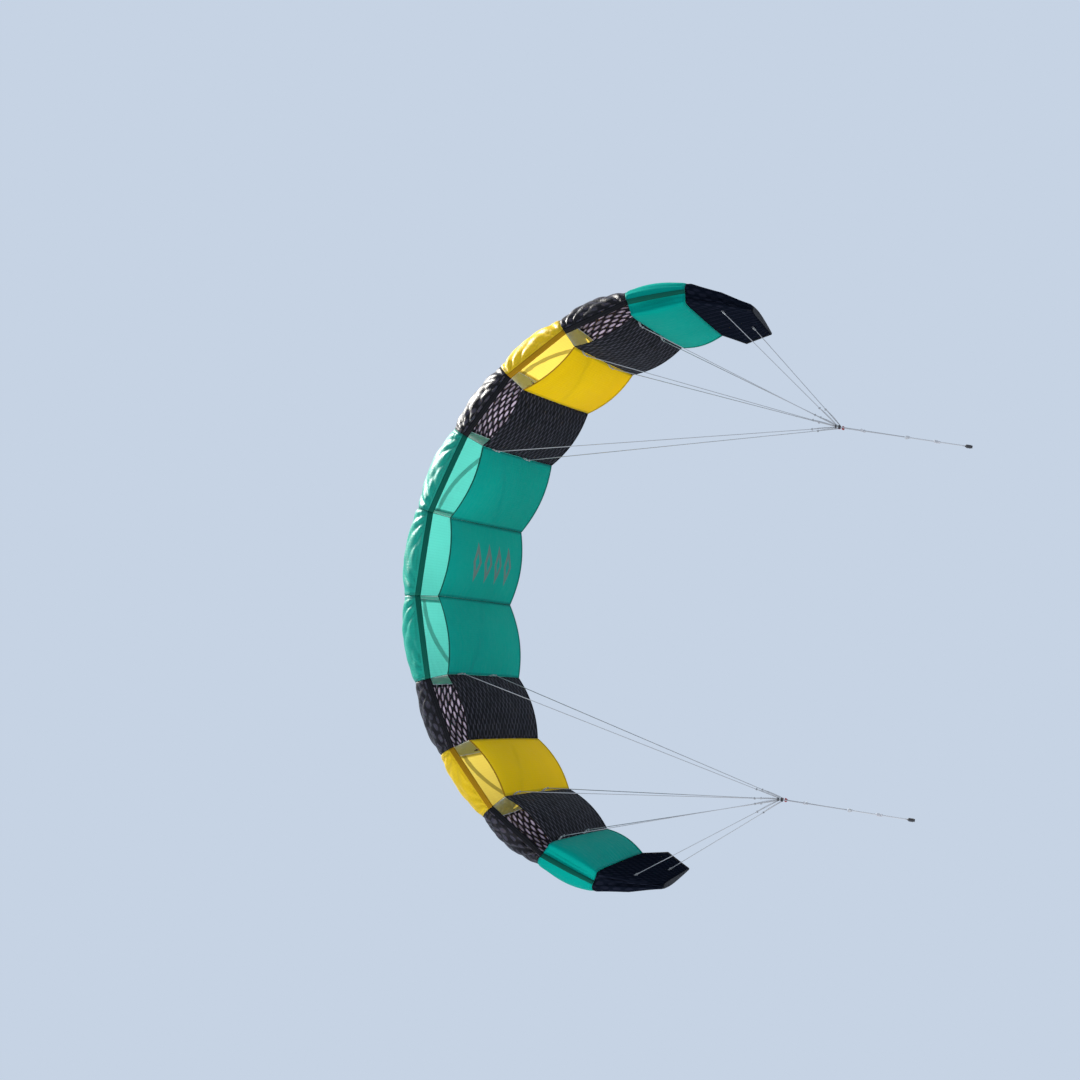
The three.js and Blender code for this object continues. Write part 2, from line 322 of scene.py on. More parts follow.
class CellSurface:
    """The outside of the fabric between two ribs, bent, billowed and puckered."""

    ROWS = 240
    STEP = 0.004
    CREST = 0.25
    TUCK = 0.0009

    def __init__(self, number: int, side: Side, section: Section) -> None:
        """Sets the cell up.

        Args:
            number: 0 for the centre cell, to 6 at the tip.
            side: the wing that it is on.
            section: the section that its fabric follows.
        """
        self.number, self.side, self.section = number, side, section
        other = Side.LEFT if side is Side.RIGHT else Side.RIGHT
        self.inner = PLAN.rib(number, side) if number else PLAN.rib(1, other)
        self.outer = PLAN.rib(number + 1, side)
        span = self.outer.lip - self.inner.lip
        self.width = math.hypot(span.x, span.z)
        self.pucker = Pucker()
        self._rows: dict[float, tuple] = {}
        self.runs = self._measure()

    @property
    def is_tip(self) -> bool:
        """Whether this is the wing's last cell, which is ridged rather than round."""
        return self.number == PLAN.last_cell

    @property
    def way_up(self) -> Vector:
        """The way up from the ribs' chords."""
        return (self.inner.up + self.outer.up).normalized()

    def _fabric(self, rib: RibFrame, t: float) -> tuple[Vector, Vector, float, bool]:
        """A rib's section at t: place, outward normal, share of chord, upper side or not."""
        step = self.STEP
        x, y = PLAN.on_section(rib, self.section, t)
        x0, y0 = PLAN.on_section(rib, self.section, max(t - step, 0))
        x1, y1 = PLAN.on_section(rib, self.section, min(t + step, 1))
        run = Vector((x1 - x0, y1 - y0)).normalized()
        normal = rib.along * -run.y + rib.up * run.x
        return rib.place(x, y), normal, x / rib.chord, run.x > 0

    def _row(self, t: float) -> tuple:
        """Both ribs' fabric points at t, kept because a whole row of the skin shares them."""
        key = round(t, 7)
        if key not in self._rows:
            self._rows[key] = (self._fabric(self.inner, t), self._fabric(self.outer, t))
        return self._rows[key]

    def _billow(self, share: float, above: bool, across: float) -> float:
        """Height of the billow over the straight line between the ribs."""
        if self.is_tip:
            edge = min(max(share, 0.0), 1.0) ** 2
            lip, tip = PLAN.lip_billow, PLAN.tip_edge_billow
            height = lip - edge * (tip + lip) if above else edge * tip
            return height * self.width * (1 - abs(2 * across - 1))
        top, crest = PLAN.upper_billow, self.CREST
        if not above:
            height = PLAN.edge_billow + (PLAN.lower_billow - PLAN.edge_billow) * 4 * share * (1 - share)
        elif share < crest:
            height = top - (top - PLAN.lip_billow) * ((crest - share) / (crest + 0.01)) ** 2
        else:
            height = top - (top + PLAN.edge_billow) * ((share - crest) / (1 - crest)) ** 2
        return height * self.width * 4 * across * (1 - across)

    def _relief(self, share: float, above: bool, across: float, run: float) -> float:
        """Height of the puckers and dents."""
        pucker = self.pucker
        nose = blend_between(0.62, 0.04, share) if above else 0.0
        rear = pucker.rear_height if above else pucker.lower_height
        fanned = above and self.section is PLAN.upper
        beside = pucker.nose_height * (1 - pucker.fan_share * blend_between(0.25, 0.1, share) * fanned)
        height = rear + (beside - rear) * nose
        edge = blend_between(1.0, 0.9, share)
        seeds = (self.number * self.side.sign, (self.number + 1) * self.side.sign)
        seams = list(zip((across * self.width, (1 - across) * self.width), seeds))
        total = height * edge * sum(pucker.beside(gap, run, seed) for gap, seed in seams)
        if fanned:
            total += sum(pucker.fanned(gap, run, seed) for gap, seed in seams)
        spot = Vector((across * self.width, run, self.number + 0.37 * self.side.sign))
        spot.xy /= pucker.dent_size
        slack = math.sin(math.pi * across) ** 0.5 * edge
        return total + pucker.dent * (0.45 + 0.55 * nose) * noise.noise(spot) * slack

    def _bare(self, across: float, t: float) -> Vector:
        """The billowed surface without its relief."""
        (a, na, share, above), (b, nb, _, _) = self._row(t)
        normal = na.lerp(nb, across).normalized()
        return a.lerp(b, across) + normal * self._billow(share, above, across)

    def _measure(self) -> list[float]:
        """Distances along the middle of the cell, from the section's start."""
        points = [self._bare(0.5, t) for t in steps(self.ROWS)]
        runs = [0.0]
        for a, b in zip(points, points[1:]):
            runs.append(runs[-1] + (b - a).length)
        return runs

    @property
    def length(self) -> float:
        """Length of the fabric along the middle of the cell."""
        return self.runs[-1]

    def run_at(self, t: float) -> float:
        """Distance along the fabric at t."""
        place = min(max(t, 0.0), 1.0) * self.ROWS
        i = min(int(place), self.ROWS - 1)
        return self.runs[i] + (self.runs[i + 1] - self.runs[i]) * (place - i)

    def t_at(self, run: float) -> float:
        """The place on the section that is that far along the fabric."""
        run = min(max(run, 0.0), self.length)
        i = min(sum(r < run for r in self.runs[1:]), self.ROWS - 1)
        return (i + (run - self.runs[i]) / (self.runs[i + 1] - self.runs[i])) / self.ROWS

    def point(self, across: float, t: float, depth: float = 0.0) -> Vector:
        """A point of the finished fabric.

        Args:
            across: share of the way from the inner rib to the outer one.
            t: place on the section.
            depth: how far inside the outer face.

        Returns:
            The point in the row frame.
        """
        (a, na, share, above), (b, nb, _, _) = self._row(t)
        normal = na.lerp(nb, across).normalized()
        height = self._billow(share, above, across)
        height += self._relief(share, above, across, self.run_at(t))
        tucked = self.TUCK * blend_between(0.6, 1.0, share)
        return a.lerp(b, across) + normal * (height - depth - tucked)

    def arc(self, t: float) -> float:
        """Length of the fabric across the cell at t."""
        return path_length([self._bare(a, t) for a in steps(12)])

    def seam_length(self, rib: RibFrame) -> float:
        """Length of the fabric along a rib."""
        return path_length([Vector(PLAN.on_section(rib, self.section, t)) for t in steps(60)])


# --------------------------------------------------------------------------- shader maths
class Signal:
    """An output socket of a node. Arithmetic on signals adds Math nodes."""

    def __init__(self, graph: "ShaderGraph", socket: bpy.types.NodeSocket) -> None:
        """Wraps a socket of a graph."""
        self.graph, self.socket = graph, socket

    def output(self, name: str) -> "Signal":
        """Another output of the same node."""
        return Signal(self.graph, self.socket.node.outputs[name])

    def _math(self, operation: str, first: "Signal | float", second: "Signal | float") -> "Signal":
        """A Math node on two values."""
        return self.graph.node("ShaderNodeMath", {"operation": operation}, {0: first, 1: second})

    def __add__(self, other: "Signal | float") -> "Signal":
        """Sum."""
        return self._math("ADD", self, other)

    def __radd__(self, other: float) -> "Signal":
        """Sum with a number on the left."""
        return self._math("ADD", other, self)

    def __sub__(self, other: "Signal | float") -> "Signal":
        """Difference."""
        return self._math("SUBTRACT", self, other)

    def __rsub__(self, other: float) -> "Signal":
        """A number less this signal."""
        return self._math("SUBTRACT", other, self)

    def __mul__(self, other: "Signal | float") -> "Signal":
        """Product."""
        return self._math("MULTIPLY", self, other)

    def __rmul__(self, other: float) -> "Signal":
        """Product with a number on the left."""
        return self._math("MULTIPLY", other, self)

    def __truediv__(self, other: "Signal | float") -> "Signal":
        """Quotient."""
        return self._math("DIVIDE", self, other)

    def size(self) -> "Signal":
        """The value without its sign."""
        return self._math("ABSOLUTE", self, 0.0)

    def larger(self, other: "Signal | float") -> "Signal":
        """The larger of two values."""
        return self._math("MAXIMUM", self, other)

    def from_line(self, spacing: float) -> "Signal":
        """Distance to the nearest multiple of a spacing."""
        return self._math("PINGPONG", self, spacing / 2)


class ShaderGraph:
    """The nodes of one material."""

    def __init__(self, name: str) -> None:
        """Starts an empty material."""
        self.material = bpy.data.materials.new(name)
        self.material.use_nodes = True
        self.tree = self.material.node_tree
        self.tree.nodes.clear()

    def node(self, kind: str, settings: dict | None = None, inputs: dict | None = None,
             output: int | str = 0) -> Signal:
        """Adds a node.

        Args:
            kind: the node's type.
            settings: its own settings, set first; stops sets a ramp's stops.
            inputs: values or signals for its sockets, by name or number.
            output: the output that is wanted.

        Returns:
            That output.
        """
        made = self.tree.nodes.new(kind)
        for key, value in (settings or {}).items():
            if key == "stops":
                self._set_stops(made.color_ramp, value)
            else:
                setattr(made, key, value)
        for key, value in (inputs or {}).items():
            if isinstance(value, Signal):
                self.tree.links.new(value.socket, made.inputs[key])
            else:
                made.inputs[key].default_value = value
        return Signal(self, made.outputs[output])

    @staticmethod
    def _set_stops(ramp: bpy.types.ColorRamp, stops: Sequence[tuple[float, Colour]]) -> None:
        """Gives a ramp its stops."""
        while len(ramp.elements) < len(stops):
            ramp.elements.new(1.0)
        for element, (place, colour) in zip(ramp.elements, stops):
            element.position, element.color = place, (*colour, 1)

    def uv(self) -> tuple[Signal, Signal]:
        """The piece's own unwrapped coordinates, in metres."""
        both = self.node("ShaderNodeUVMap", {"uv_map": CLOTH_UV})
        split = self.node("ShaderNodeSeparateXYZ", None, {0: both})
        return split.output("X"), split.output("Y")

    def place(self) -> Signal:
        """Object coordinates."""
        return self.node("ShaderNodeTexCoord").output("Object")

    def attribute(self, name: str) -> Signal:
        """A number kept on the mesh's points."""
        return self.node("ShaderNodeAttribute", {"attribute_name": name}).output("Fac")

    def cloud(self, scale: float, detail: float = 3.0, distortion: float = 0.0) -> Signal:
        """Noise from 0 to 1 on object coordinates."""
        sizes = {"Vector": self.place(), "Scale": scale, "Detail": detail, "Distortion": distortion}
        return self.node("ShaderNodeTexNoise", None, sizes)

    def ramp(self, value: Signal, low: float, high: float, start: float = 0.0,
             end: float = 1.0) -> Signal:
        """Smooth step of a value, from start at low to end at high."""
        limits = {0: value, 1: low, 2: high, 3: start, 4: end}
        return self.node("ShaderNodeMapRange", {"interpolation_type": "SMOOTHSTEP"}, limits)

    def mix(self, factor: Signal | float, first: Signal | Colour, second: Signal | Colour) -> Signal:
        """Mix of two colours."""
        first, second = ((*c, 1) if isinstance(c, tuple) else c for c in (first, second))
        return self.node("ShaderNodeMix", {"data_type": "RGBA"}, {0: factor, 6: first, 7: second}, 2)

    def bump(self, height: Signal, distance: float, strength: float = 1.0) -> Signal:
        """Normal of a bumpy surface."""
        sizes = {"Height": height, "Distance": distance, "Strength": strength}
        return self.node("ShaderNodeBump", None, sizes)

    def principled(self, inputs: dict) -> Signal:
        """A Principled shader."""
        return self.node("ShaderNodeBsdfPrincipled", None, inputs)

    def cloth(self, face: dict, glow: Colour, through: Signal) -> bpy.types.Material:
        """Finishes a thin cloth.

        Args:
            face: the Principled inputs of its face, with its Normal.
            glow: the colour of the light that comes through it.
            through: how much of it does.

        Returns:
            The material.
        """
        lit = {"Color": (*glow, 1), "Normal": face["Normal"]}
        shaders = {0: through, 1: self.principled(face),
                   2: self.node("ShaderNodeBsdfTranslucent", None, lit)}
        return self.finish(self.node("ShaderNodeMixShader", None, shaders))

    def finish(self, shader: Signal) -> bpy.types.Material:
        """Links the shader to the output and gives the material."""
        out = self.tree.nodes.new("ShaderNodeOutputMaterial")
        self.tree.links.new(shader.socket, out.inputs["Surface"])
        return self.material


def scaled(colour: Colour, by: float) -> Colour:
    """A colour made lighter or darker."""
    return tuple(min(c * by, 1.0) for c in colour)


class Print(Enum):
    """What is printed on a fabric, or a shadow painted on it.

    The numbers say how far it covers the cloth's colour, and how much of the light that the
    cloth lets through passes beside it and at it.
    """

    PLAIN = (0.0, 1.0, 1.0)
    SCALES = (1.0, 0.16, 1.16)
    DIAMONDS = (0.8, 1.0, 0.4)
    # painted shadow: a cast shadow painted across a cell's inner face, which darkens it and lets less light
    # through
    PAINTED_SHADOW = (1.0, 1.0, 0.38)


@dataclass(frozen=True)
class DiamondRow:
    """A row of hollow diamonds: its middle line, its start and end, and each diamond's sizes."""

    middle: float = 0.079
    offset: float = 0.041
    pitch: float = 0.078
    half_long: float = 0.030
    half_wide: float = 0.044
    hole: float = 0.42
    blur: float = 0.04
    start: float = 0.080
    end: float = 0.392
    fade: float = 0.002


@dataclass(frozen=True)
class ShadowBand:
    """A painted shadow band that slants back and out: a point of its middle line, its slope and half-width.
    """

    across: float = 0.040
    along: float = 0.280
    slope: float = 0.96
    half_width: float = 0.0075
    core: float = 0.86


@dataclass(frozen=True)
class Finish:
    """A surface finish."""

    name: str
    colour: Colour

    def material(self) -> bpy.types.Material:
        """The finish's material, drawn the first time that it is asked for."""
        if self.name in bpy.data.materials:
            return bpy.data.materials[self.name]
        return self._draw(ShaderGraph(self.name))

    def _draw(self, g: ShaderGraph) -> bpy.types.Material:
        """Draws the finish in an empty graph."""
        raise NotImplementedError


@dataclass(frozen=True)
class Fabric(Finish):
    """A thin coated ripstop.

    Attributes:
        glow: the colour of the light that comes through it.
        translucency: how much light comes through it.
        printed: what is on it: a print, or a painted shadow band.
        mark: the colour of that.
        roughness: its face's roughness.
        gloss: its face's specular level.
        grid: the spacing of its ripstop threads.
        thread: half the width of one.
        seam_band: how far the painted shade and the doubled cloth of a seam reach in from a rib.
        scale_across: pitch and half-length of a printed scale across the cell.
        scale_along: the same along the cell.
    """

    glow: Colour
    translucency: float
    printed: Print = Print.PLAIN
    mark: Colour = (0.0, 0.0, 0.0)
    roughness: float = 0.56
    gloss: float = 0.16
    grid: float = 0.005
    thread: float = 0.00045
    seam_band: float = 0.006
    scale_across: Share = (0.023, 0.0074)
    scale_along: Share = (0.027, 0.0044)

    @staticmethod
    def _diamonds(g: ShaderGraph, u: Signal, v: Signal) -> Signal:
        """Mask of a row of diamonds down the middle of the centre cell."""
        row = DiamondRow()
        across = (u - row.middle).size() / row.half_wide
        far = across + (v - row.offset).from_line(row.pitch) / row.half_long
        diamond = g.ramp(far, 1.0, 1.0 - row.blur) * g.ramp(far, row.hole, row.hole + row.blur)
        return diamond * g.ramp(v, row.start, row.start + row.fade) * g.ramp(v, row.end, row.end - row.fade)

    @staticmethod
    def _shadow_band(g: ShaderGraph, u: Signal, v: Signal) -> Signal:
        """Mask of a painted shadow band that slants back and out from the upper lip."""
        shadow_band = ShadowBand()
        aside = ((u - shadow_band.across) * shadow_band.slope - v + shadow_band.along).size() / math.hypot(1, shadow_band.slope)
        return g.ramp(aside, shadow_band.half_width, shadow_band.half_width * shadow_band.core)

    def _scales(self, g: ShaderGraph, u: Signal, v: Signal) -> Signal:
        """Mask of staggered ovals, longer across the cell."""
        warp = (g.cloud(11.0, 2.0) - 0.5) * 0.010
        (wide, half_wide), (long, half_long) = self.scale_across, self.scale_along
        masks = []
        for shift in (0.0, 0.5):
            du = (u + warp + shift * wide).from_line(wide) / half_wide
            dv = (v + warp + shift * long).from_line(long) / half_long
            masks.append(g.ramp(du * du + dv * dv, 1.5, 0.45))
        return masks[0].larger(masks[1]) * g.ramp(g.cloud(38.0, 2.0), 0.3, 0.62, 0.45, 1.0)

    def _threads(self, g: ShaderGraph, place: Signal) -> Signal:
        """Mask of the ripstop's threads in one direction."""
        return g.ramp(place.from_line(self.grid), self.thread, self.thread * 2, 1, 0)

    def _draw(self, g: ShaderGraph) -> bpy.types.Material:
        """Threads, painted shade along the seams, mottling and crinkles, with the print over them."""
        u, v = g.uv()
        grid = self._threads(g, u).larger(self._threads(g, v))
        seam = g.ramp(g.attribute(SEAM_ATTRIBUTE), self.seam_band * 0.55, self.seam_band, 1, 0)
        mottle, crinkle, weave = g.cloud(6.0, 4.0, 0.4), g.cloud(85.0, 5.0, 0.7), g.cloud(900.0, 1.0)
        # mottling and threads vary the tone; the seam term is painted shade along the seams, where the
        # doubled cloth also lets less light through
        shade = (mottle * 0.34 + seam * 0.42 + grid * 0.10 - 0.1).larger(0.0)
        base = g.mix(shade, self.colour, scaled(self.colour, 0.48))
        through = (1 - seam * 0.55) * (1 - grid * 0.10) * (0.9 + mottle * 0.2) * self.translucency
        if self.printed is not Print.PLAIN:
            masks = {Print.SCALES: self._scales, Print.DIAMONDS: self._diamonds, Print.PAINTED_SHADOW: self._shadow_band}
            mask = masks[self.printed](g, u, v)
            cover, beside, at = self.printed.value
            base = g.mix(mask * cover, base, self.mark)
            through = through * (mask * (at - beside) + beside)
        face = {
            "Base Color": base, "Specular IOR Level": self.gloss,
            "Roughness": g.ramp(crinkle, 0.2, 0.8, self.roughness - 0.07, self.roughness + 0.1),
            "Normal": g.bump(grid * 0.12 + crinkle + weave * 0.12, 0.0011, 0.6),
        }
        return g.cloth(face, self.glow, through)


@dataclass(frozen=True)
class Tape(Finish):
    """A folded hem or webbing, with two rows of stitches in a thread's colour."""

    thread: Colour
    glow: Colour
    translucency: float = 0.12
    roughness: float = 0.7
    stitch: float = 0.0034
    stitching: float = 0.5
    weft: float = 0.0008
    rows: Share = (0.0022, 0.0072)

    def _draw(self, g: ShaderGraph) -> bpy.types.Material:
        """Two rows of dashes on a fine weft."""
        u, v = g.uv()
        dash = g.ramp(u.from_line(self.stitch), self.stitch * 0.30, self.stitch * 0.38, 1, 0)
        first, second = (g.ramp((v - row).size(), 0.0003, 0.0006, 1, 0) for row in self.rows)
        stitches = first.larger(second) * dash * self.stitching
        weft = u.from_line(self.weft) / self.weft
        base = g.mix(g.cloud(22.0, 3.0) * 0.5 + weft * 0.3, self.colour, scaled(self.colour, 0.6))
        face = {
            "Base Color": g.mix(stitches * 0.85, base, self.thread), "Specular IOR Level": 0.12,
            "Roughness": self.roughness - stitches * 0.15,
            "Normal": g.bump(stitches + weft * 0.25 + g.cloud(160.0, 3.0) * 0.4, 0.0005, 0.7),
        }
        return g.cloth(face, self.glow, (1 - stitches * 0.6) * self.translucency)


@dataclass(frozen=True)
class Braid(Finish):
    """A braided line or sleeve. Its u runs once round the line and its v is in metres."""

    shade: Colour
    strand: float = 0.0016
    roughness: float = 0.62
    strands_round: float = 4.0

    def _draw(self, g: ShaderGraph) -> bpy.types.Material:
        """Strands that cross in both directions, with painted shade between them, fuzz and some grime."""
        u, v = g.uv()
        turn, along = u * self.strands_round, v / self.strand
        left, right = ((way.from_line(1.0) * 2.0) for way in (turn + along, turn - along))
        braid = left.larger(right)
        fuzz, grime = g.cloud(420.0, 3.0), g.cloud(9.0, 3.0)
        # the shade colour between the strands is painted shade in the braid's grooves; grime varies the
        # tone at random
        base = g.mix(g.ramp(braid, 0.55, 1.0) * 0.5 + grime * 0.4, self.shade, self.colour)
        return g.finish(g.principled({
            "Base Color": base, "Sheen Weight": 0.25, "Sheen Roughness": 0.5,
            "Roughness": g.ramp(fuzz, 0.2, 0.8, self.roughness - 0.1, self.roughness + 0.15),
            "Normal": g.bump(braid + fuzz * 0.4, 0.0003, 0.8),
        }))


@dataclass(frozen=True)
class Paint(Finish):
    """Matt floor paint."""

    def _draw(self, g: ShaderGraph) -> bpy.types.Material:
        """A faintly cloudy, slightly rough coat."""
        base = g.mix(g.cloud(0.6, 3.0) * 0.3, self.colour, scaled(self.colour, 0.9))
        return g.finish(g.principled({
            "Base Color": base, "Roughness": 0.9, "Normal": g.bump(g.cloud(40.0), 0.0005, 0.3),
        }))


# ------------------------------------------------------------------------------ finishes
class Hue(Enum):
    """The colour of a cell or a rib."""

    GREEN = "green"
    YELLOW = "yellow"
    BLACK = "black"
    TIP = "tip"


def strapped(cloth: Fabric, mark: Colour) -> Fabric:
    """The same inner face with a painted shadow band across it."""
    return replace(cloth, name=cloth.name.replace("inside", "strapped"), printed=Print.PAINTED_SHADOW, mark=mark)


SUNNY = {"roughness": 0.42, "gloss": 0.30}
OUTSIDES = {
    Hue.GREEN: Fabric("sea_green_cloth", (0.0, 0.30, 0.225), (0.30, 0.95, 0.84), 0.34, **SUNNY),
    Hue.YELLOW: Fabric("sun_yellow_cloth", (0.85, 0.58, 0.003), (1.0, 0.90, 0.32), 0.42, **SUNNY),
    Hue.BLACK: Fabric("scaled_black_cloth", (0.008, 0.007, 0.009), (0.72, 0.66, 0.78), 0.34,
                      Print.SCALES, (0.040, 0.039, 0.052), 0.44, 0.18),
    Hue.TIP: Fabric("tip_black_cloth", (0.005, 0.007, 0.013), (0.30, 0.30, 0.42), 0.04,
                    Print.SCALES, (0.012, 0.014, 0.024), gloss=0.0),
}
# Inner faces: the same cloths painted much lighter, a painted glow of the sunlight that comes through the
# canopy
INSIDES_PAINTED_LIGHT = {
    Hue.GREEN: Fabric("sea_green_cloth_inside", (0.14, 0.72, 0.66), (0.66, 1.0, 1.0), 0.56),
    Hue.YELLOW: Fabric("sun_yellow_cloth_inside", (0.98, 0.80, 0.16), (1.0, 0.97, 0.55), 0.62),
    Hue.BLACK: Fabric("scaled_black_cloth_inside", (0.07, 0.055, 0.09), (0.85, 0.78, 0.88), 0.62,
                      Print.SCALES, (0.42, 0.38, 0.46)),
    Hue.TIP: Fabric("tip_black_cloth_inside", (0.02, 0.02, 0.03), (0.4, 0.4, 0.5), 0.15),
}
# Inner faces with a painted shadow band, a cast shadow painted in a greyed colour
SHADOW_BANDED_INSIDES = {
    Hue.GREEN: strapped(INSIDES_PAINTED_LIGHT[Hue.GREEN], (0.40, 0.52, 0.48)),
    Hue.YELLOW: strapped(INSIDES_PAINTED_LIGHT[Hue.YELLOW], (0.44, 0.38, 0.22)),
}
# Undersides: the same cloths with painted light, green and yellow painted lighter and black painted darker
# than their tops
UNDERSIDES_PAINTED_LIGHT = {
    Hue.GREEN: Fabric("sea_green_cloth_below", (0.0, 0.400, 0.330), (0.01, 0.62, 0.47), 0.30, gloss=0.03),
    Hue.YELLOW: Fabric("sun_yellow_cloth_below", (0.95, 0.66, 0.0), (1.0, 0.78, 0.02), 0.38, gloss=0.03),
    Hue.BLACK: Fabric("scaled_black_cloth_below", (0.004, 0.004, 0.005), (0.50, 0.47, 0.55), 0.08,
                      Print.SCALES, (0.052, 0.050, 0.064), gloss=0.02),
}
# the centre's underside: the green underside's painted light, with its print of diamonds
CENTRE_UNDERSIDE_PAINTED_LIGHT = Fabric("sea_green_cloth_with_diamonds", (0.0, 0.400, 0.330), (0.02, 0.62, 0.47), 0.30,
                          Print.DIAMONDS, (0.21, 0.19, 0.18), gloss=0.03)
RIB_CLOTH = Fabric("pale_rib_cloth", (0.66, 0.70, 0.66), (0.96, 1.0, 0.95), 0.55, seam_band=0.004)
TIP_RIB_CLOTH = Fabric("black_rib_cloth", (0.012, 0.011, 0.014), (0.3, 0.3, 0.36), 0.08, seam_band=0.004)
# Hems painted much darker than their cloth: painted shade of the doubled cloth, which lets less light
# through
SHADED_HEMS = {
    Hue.GREEN: Tape("green_hem", (0.0, 0.100, 0.068), (0.0, 0.15, 0.11), (0.0, 0.5, 0.4)),
    Hue.YELLOW: Tape("yellow_hem", (0.40, 0.20, 0.003), (0.62, 0.34, 0.01), (0.9, 0.5, 0.02)),
    Hue.BLACK: Tape("black_hem", (0.006, 0.006, 0.008), (0.03, 0.03, 0.035), (0.1, 0.1, 0.12), 0.03),
    Hue.TIP: Tape("black_tip_hem", (0.006, 0.006, 0.008), (0.03, 0.03, 0.035), (0.1, 0.1, 0.12), 0.03),
}
EDGE_TAPES = {
    **SHADED_HEMS,
    Hue.GREEN: Tape("green_edge_tape", (0.0, 0.25, 0.185), (0.0, 0.17, 0.12), (0.02, 0.6, 0.45)),
    Hue.YELLOW: Tape("yellow_edge_tape", (0.75, 0.48, 0.002), (0.6, 0.36, 0.0), (1.0, 0.65, 0.02)),
}
# The rib's dark rim: painted shade along the seams, where the rib shows between the skins
SEAM_SHADE_EDGE = Tape("painted_seam_shade", (0.020, 0.024, 0.024), (0.04, 0.04, 0.04), (0.1, 0.1, 0.1), 0.0)
WEBBING = Tape("white_webbing", (0.66, 0.67, 0.68), (0.3, 0.3, 0.32), (0.6, 0.6, 0.6), 0.05,
               rows=(0.0015, 0.0075))
LINE = Braid("bridle_braid", (0.60, 0.61, 0.63), (0.30, 0.31, 0.33))
PIGTAIL = Braid("pigtail_braid", (0.52, 0.53, 0.55), (0.26, 0.27, 0.29), 0.0019)
SLEEVE = Braid("flying_line_sleeve", (0.70, 0.71, 0.73), (0.38, 0.39, 0.41), 0.0024)
DARK_KNOT = Braid("dark_knot_cord", (0.05, 0.05, 0.06), (0.02, 0.02, 0.025), 0.0017)
RED_KNOT = Braid("red_knot_cord", (0.50, 0.06, 0.07), (0.25, 0.03, 0.04), 0.0017)
WHITE_KNOT = Braid("white_knot_cord", (0.75, 0.75, 0.77), (0.45, 0.45, 0.48), 0.0017)
FLOOR_PAINT = Paint("studio_floor", (0.62, 0.64, 0.67))
CELL_HUES = (Hue.GREEN, Hue.GREEN, Hue.BLACK, Hue.YELLOW, Hue.BLACK, Hue.GREEN, Hue.TIP)
SLOTS = {
    Hue.GREEN: "green_ripstop", Hue.YELLOW: "yellow_ripstop",
    Hue.BLACK: "black_ripstop", Hue.TIP: "black_ripstop",
}


# ------------------------------------------------------------------------------- workshop
@dataclass(frozen=True)
class Carrier:
    """What a piece moves with: one body; a piece between two bodies only has its place baked in."""

    body: str
    far_body: str | None = None
    start: Vector = field(default_factory=Vector)
    end: Vector = field(default_factory=Vector)

    def carry(self, piece: bpy.types.Object) -> None:
        """Makes a finished piece move with its body; a piece between two bodies has its place baked into
        its mesh.
        """
        if self.far_body is None:
            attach(piece, self.body)
        else:
            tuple(self.start)
            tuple(self.end)
            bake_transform(piece)


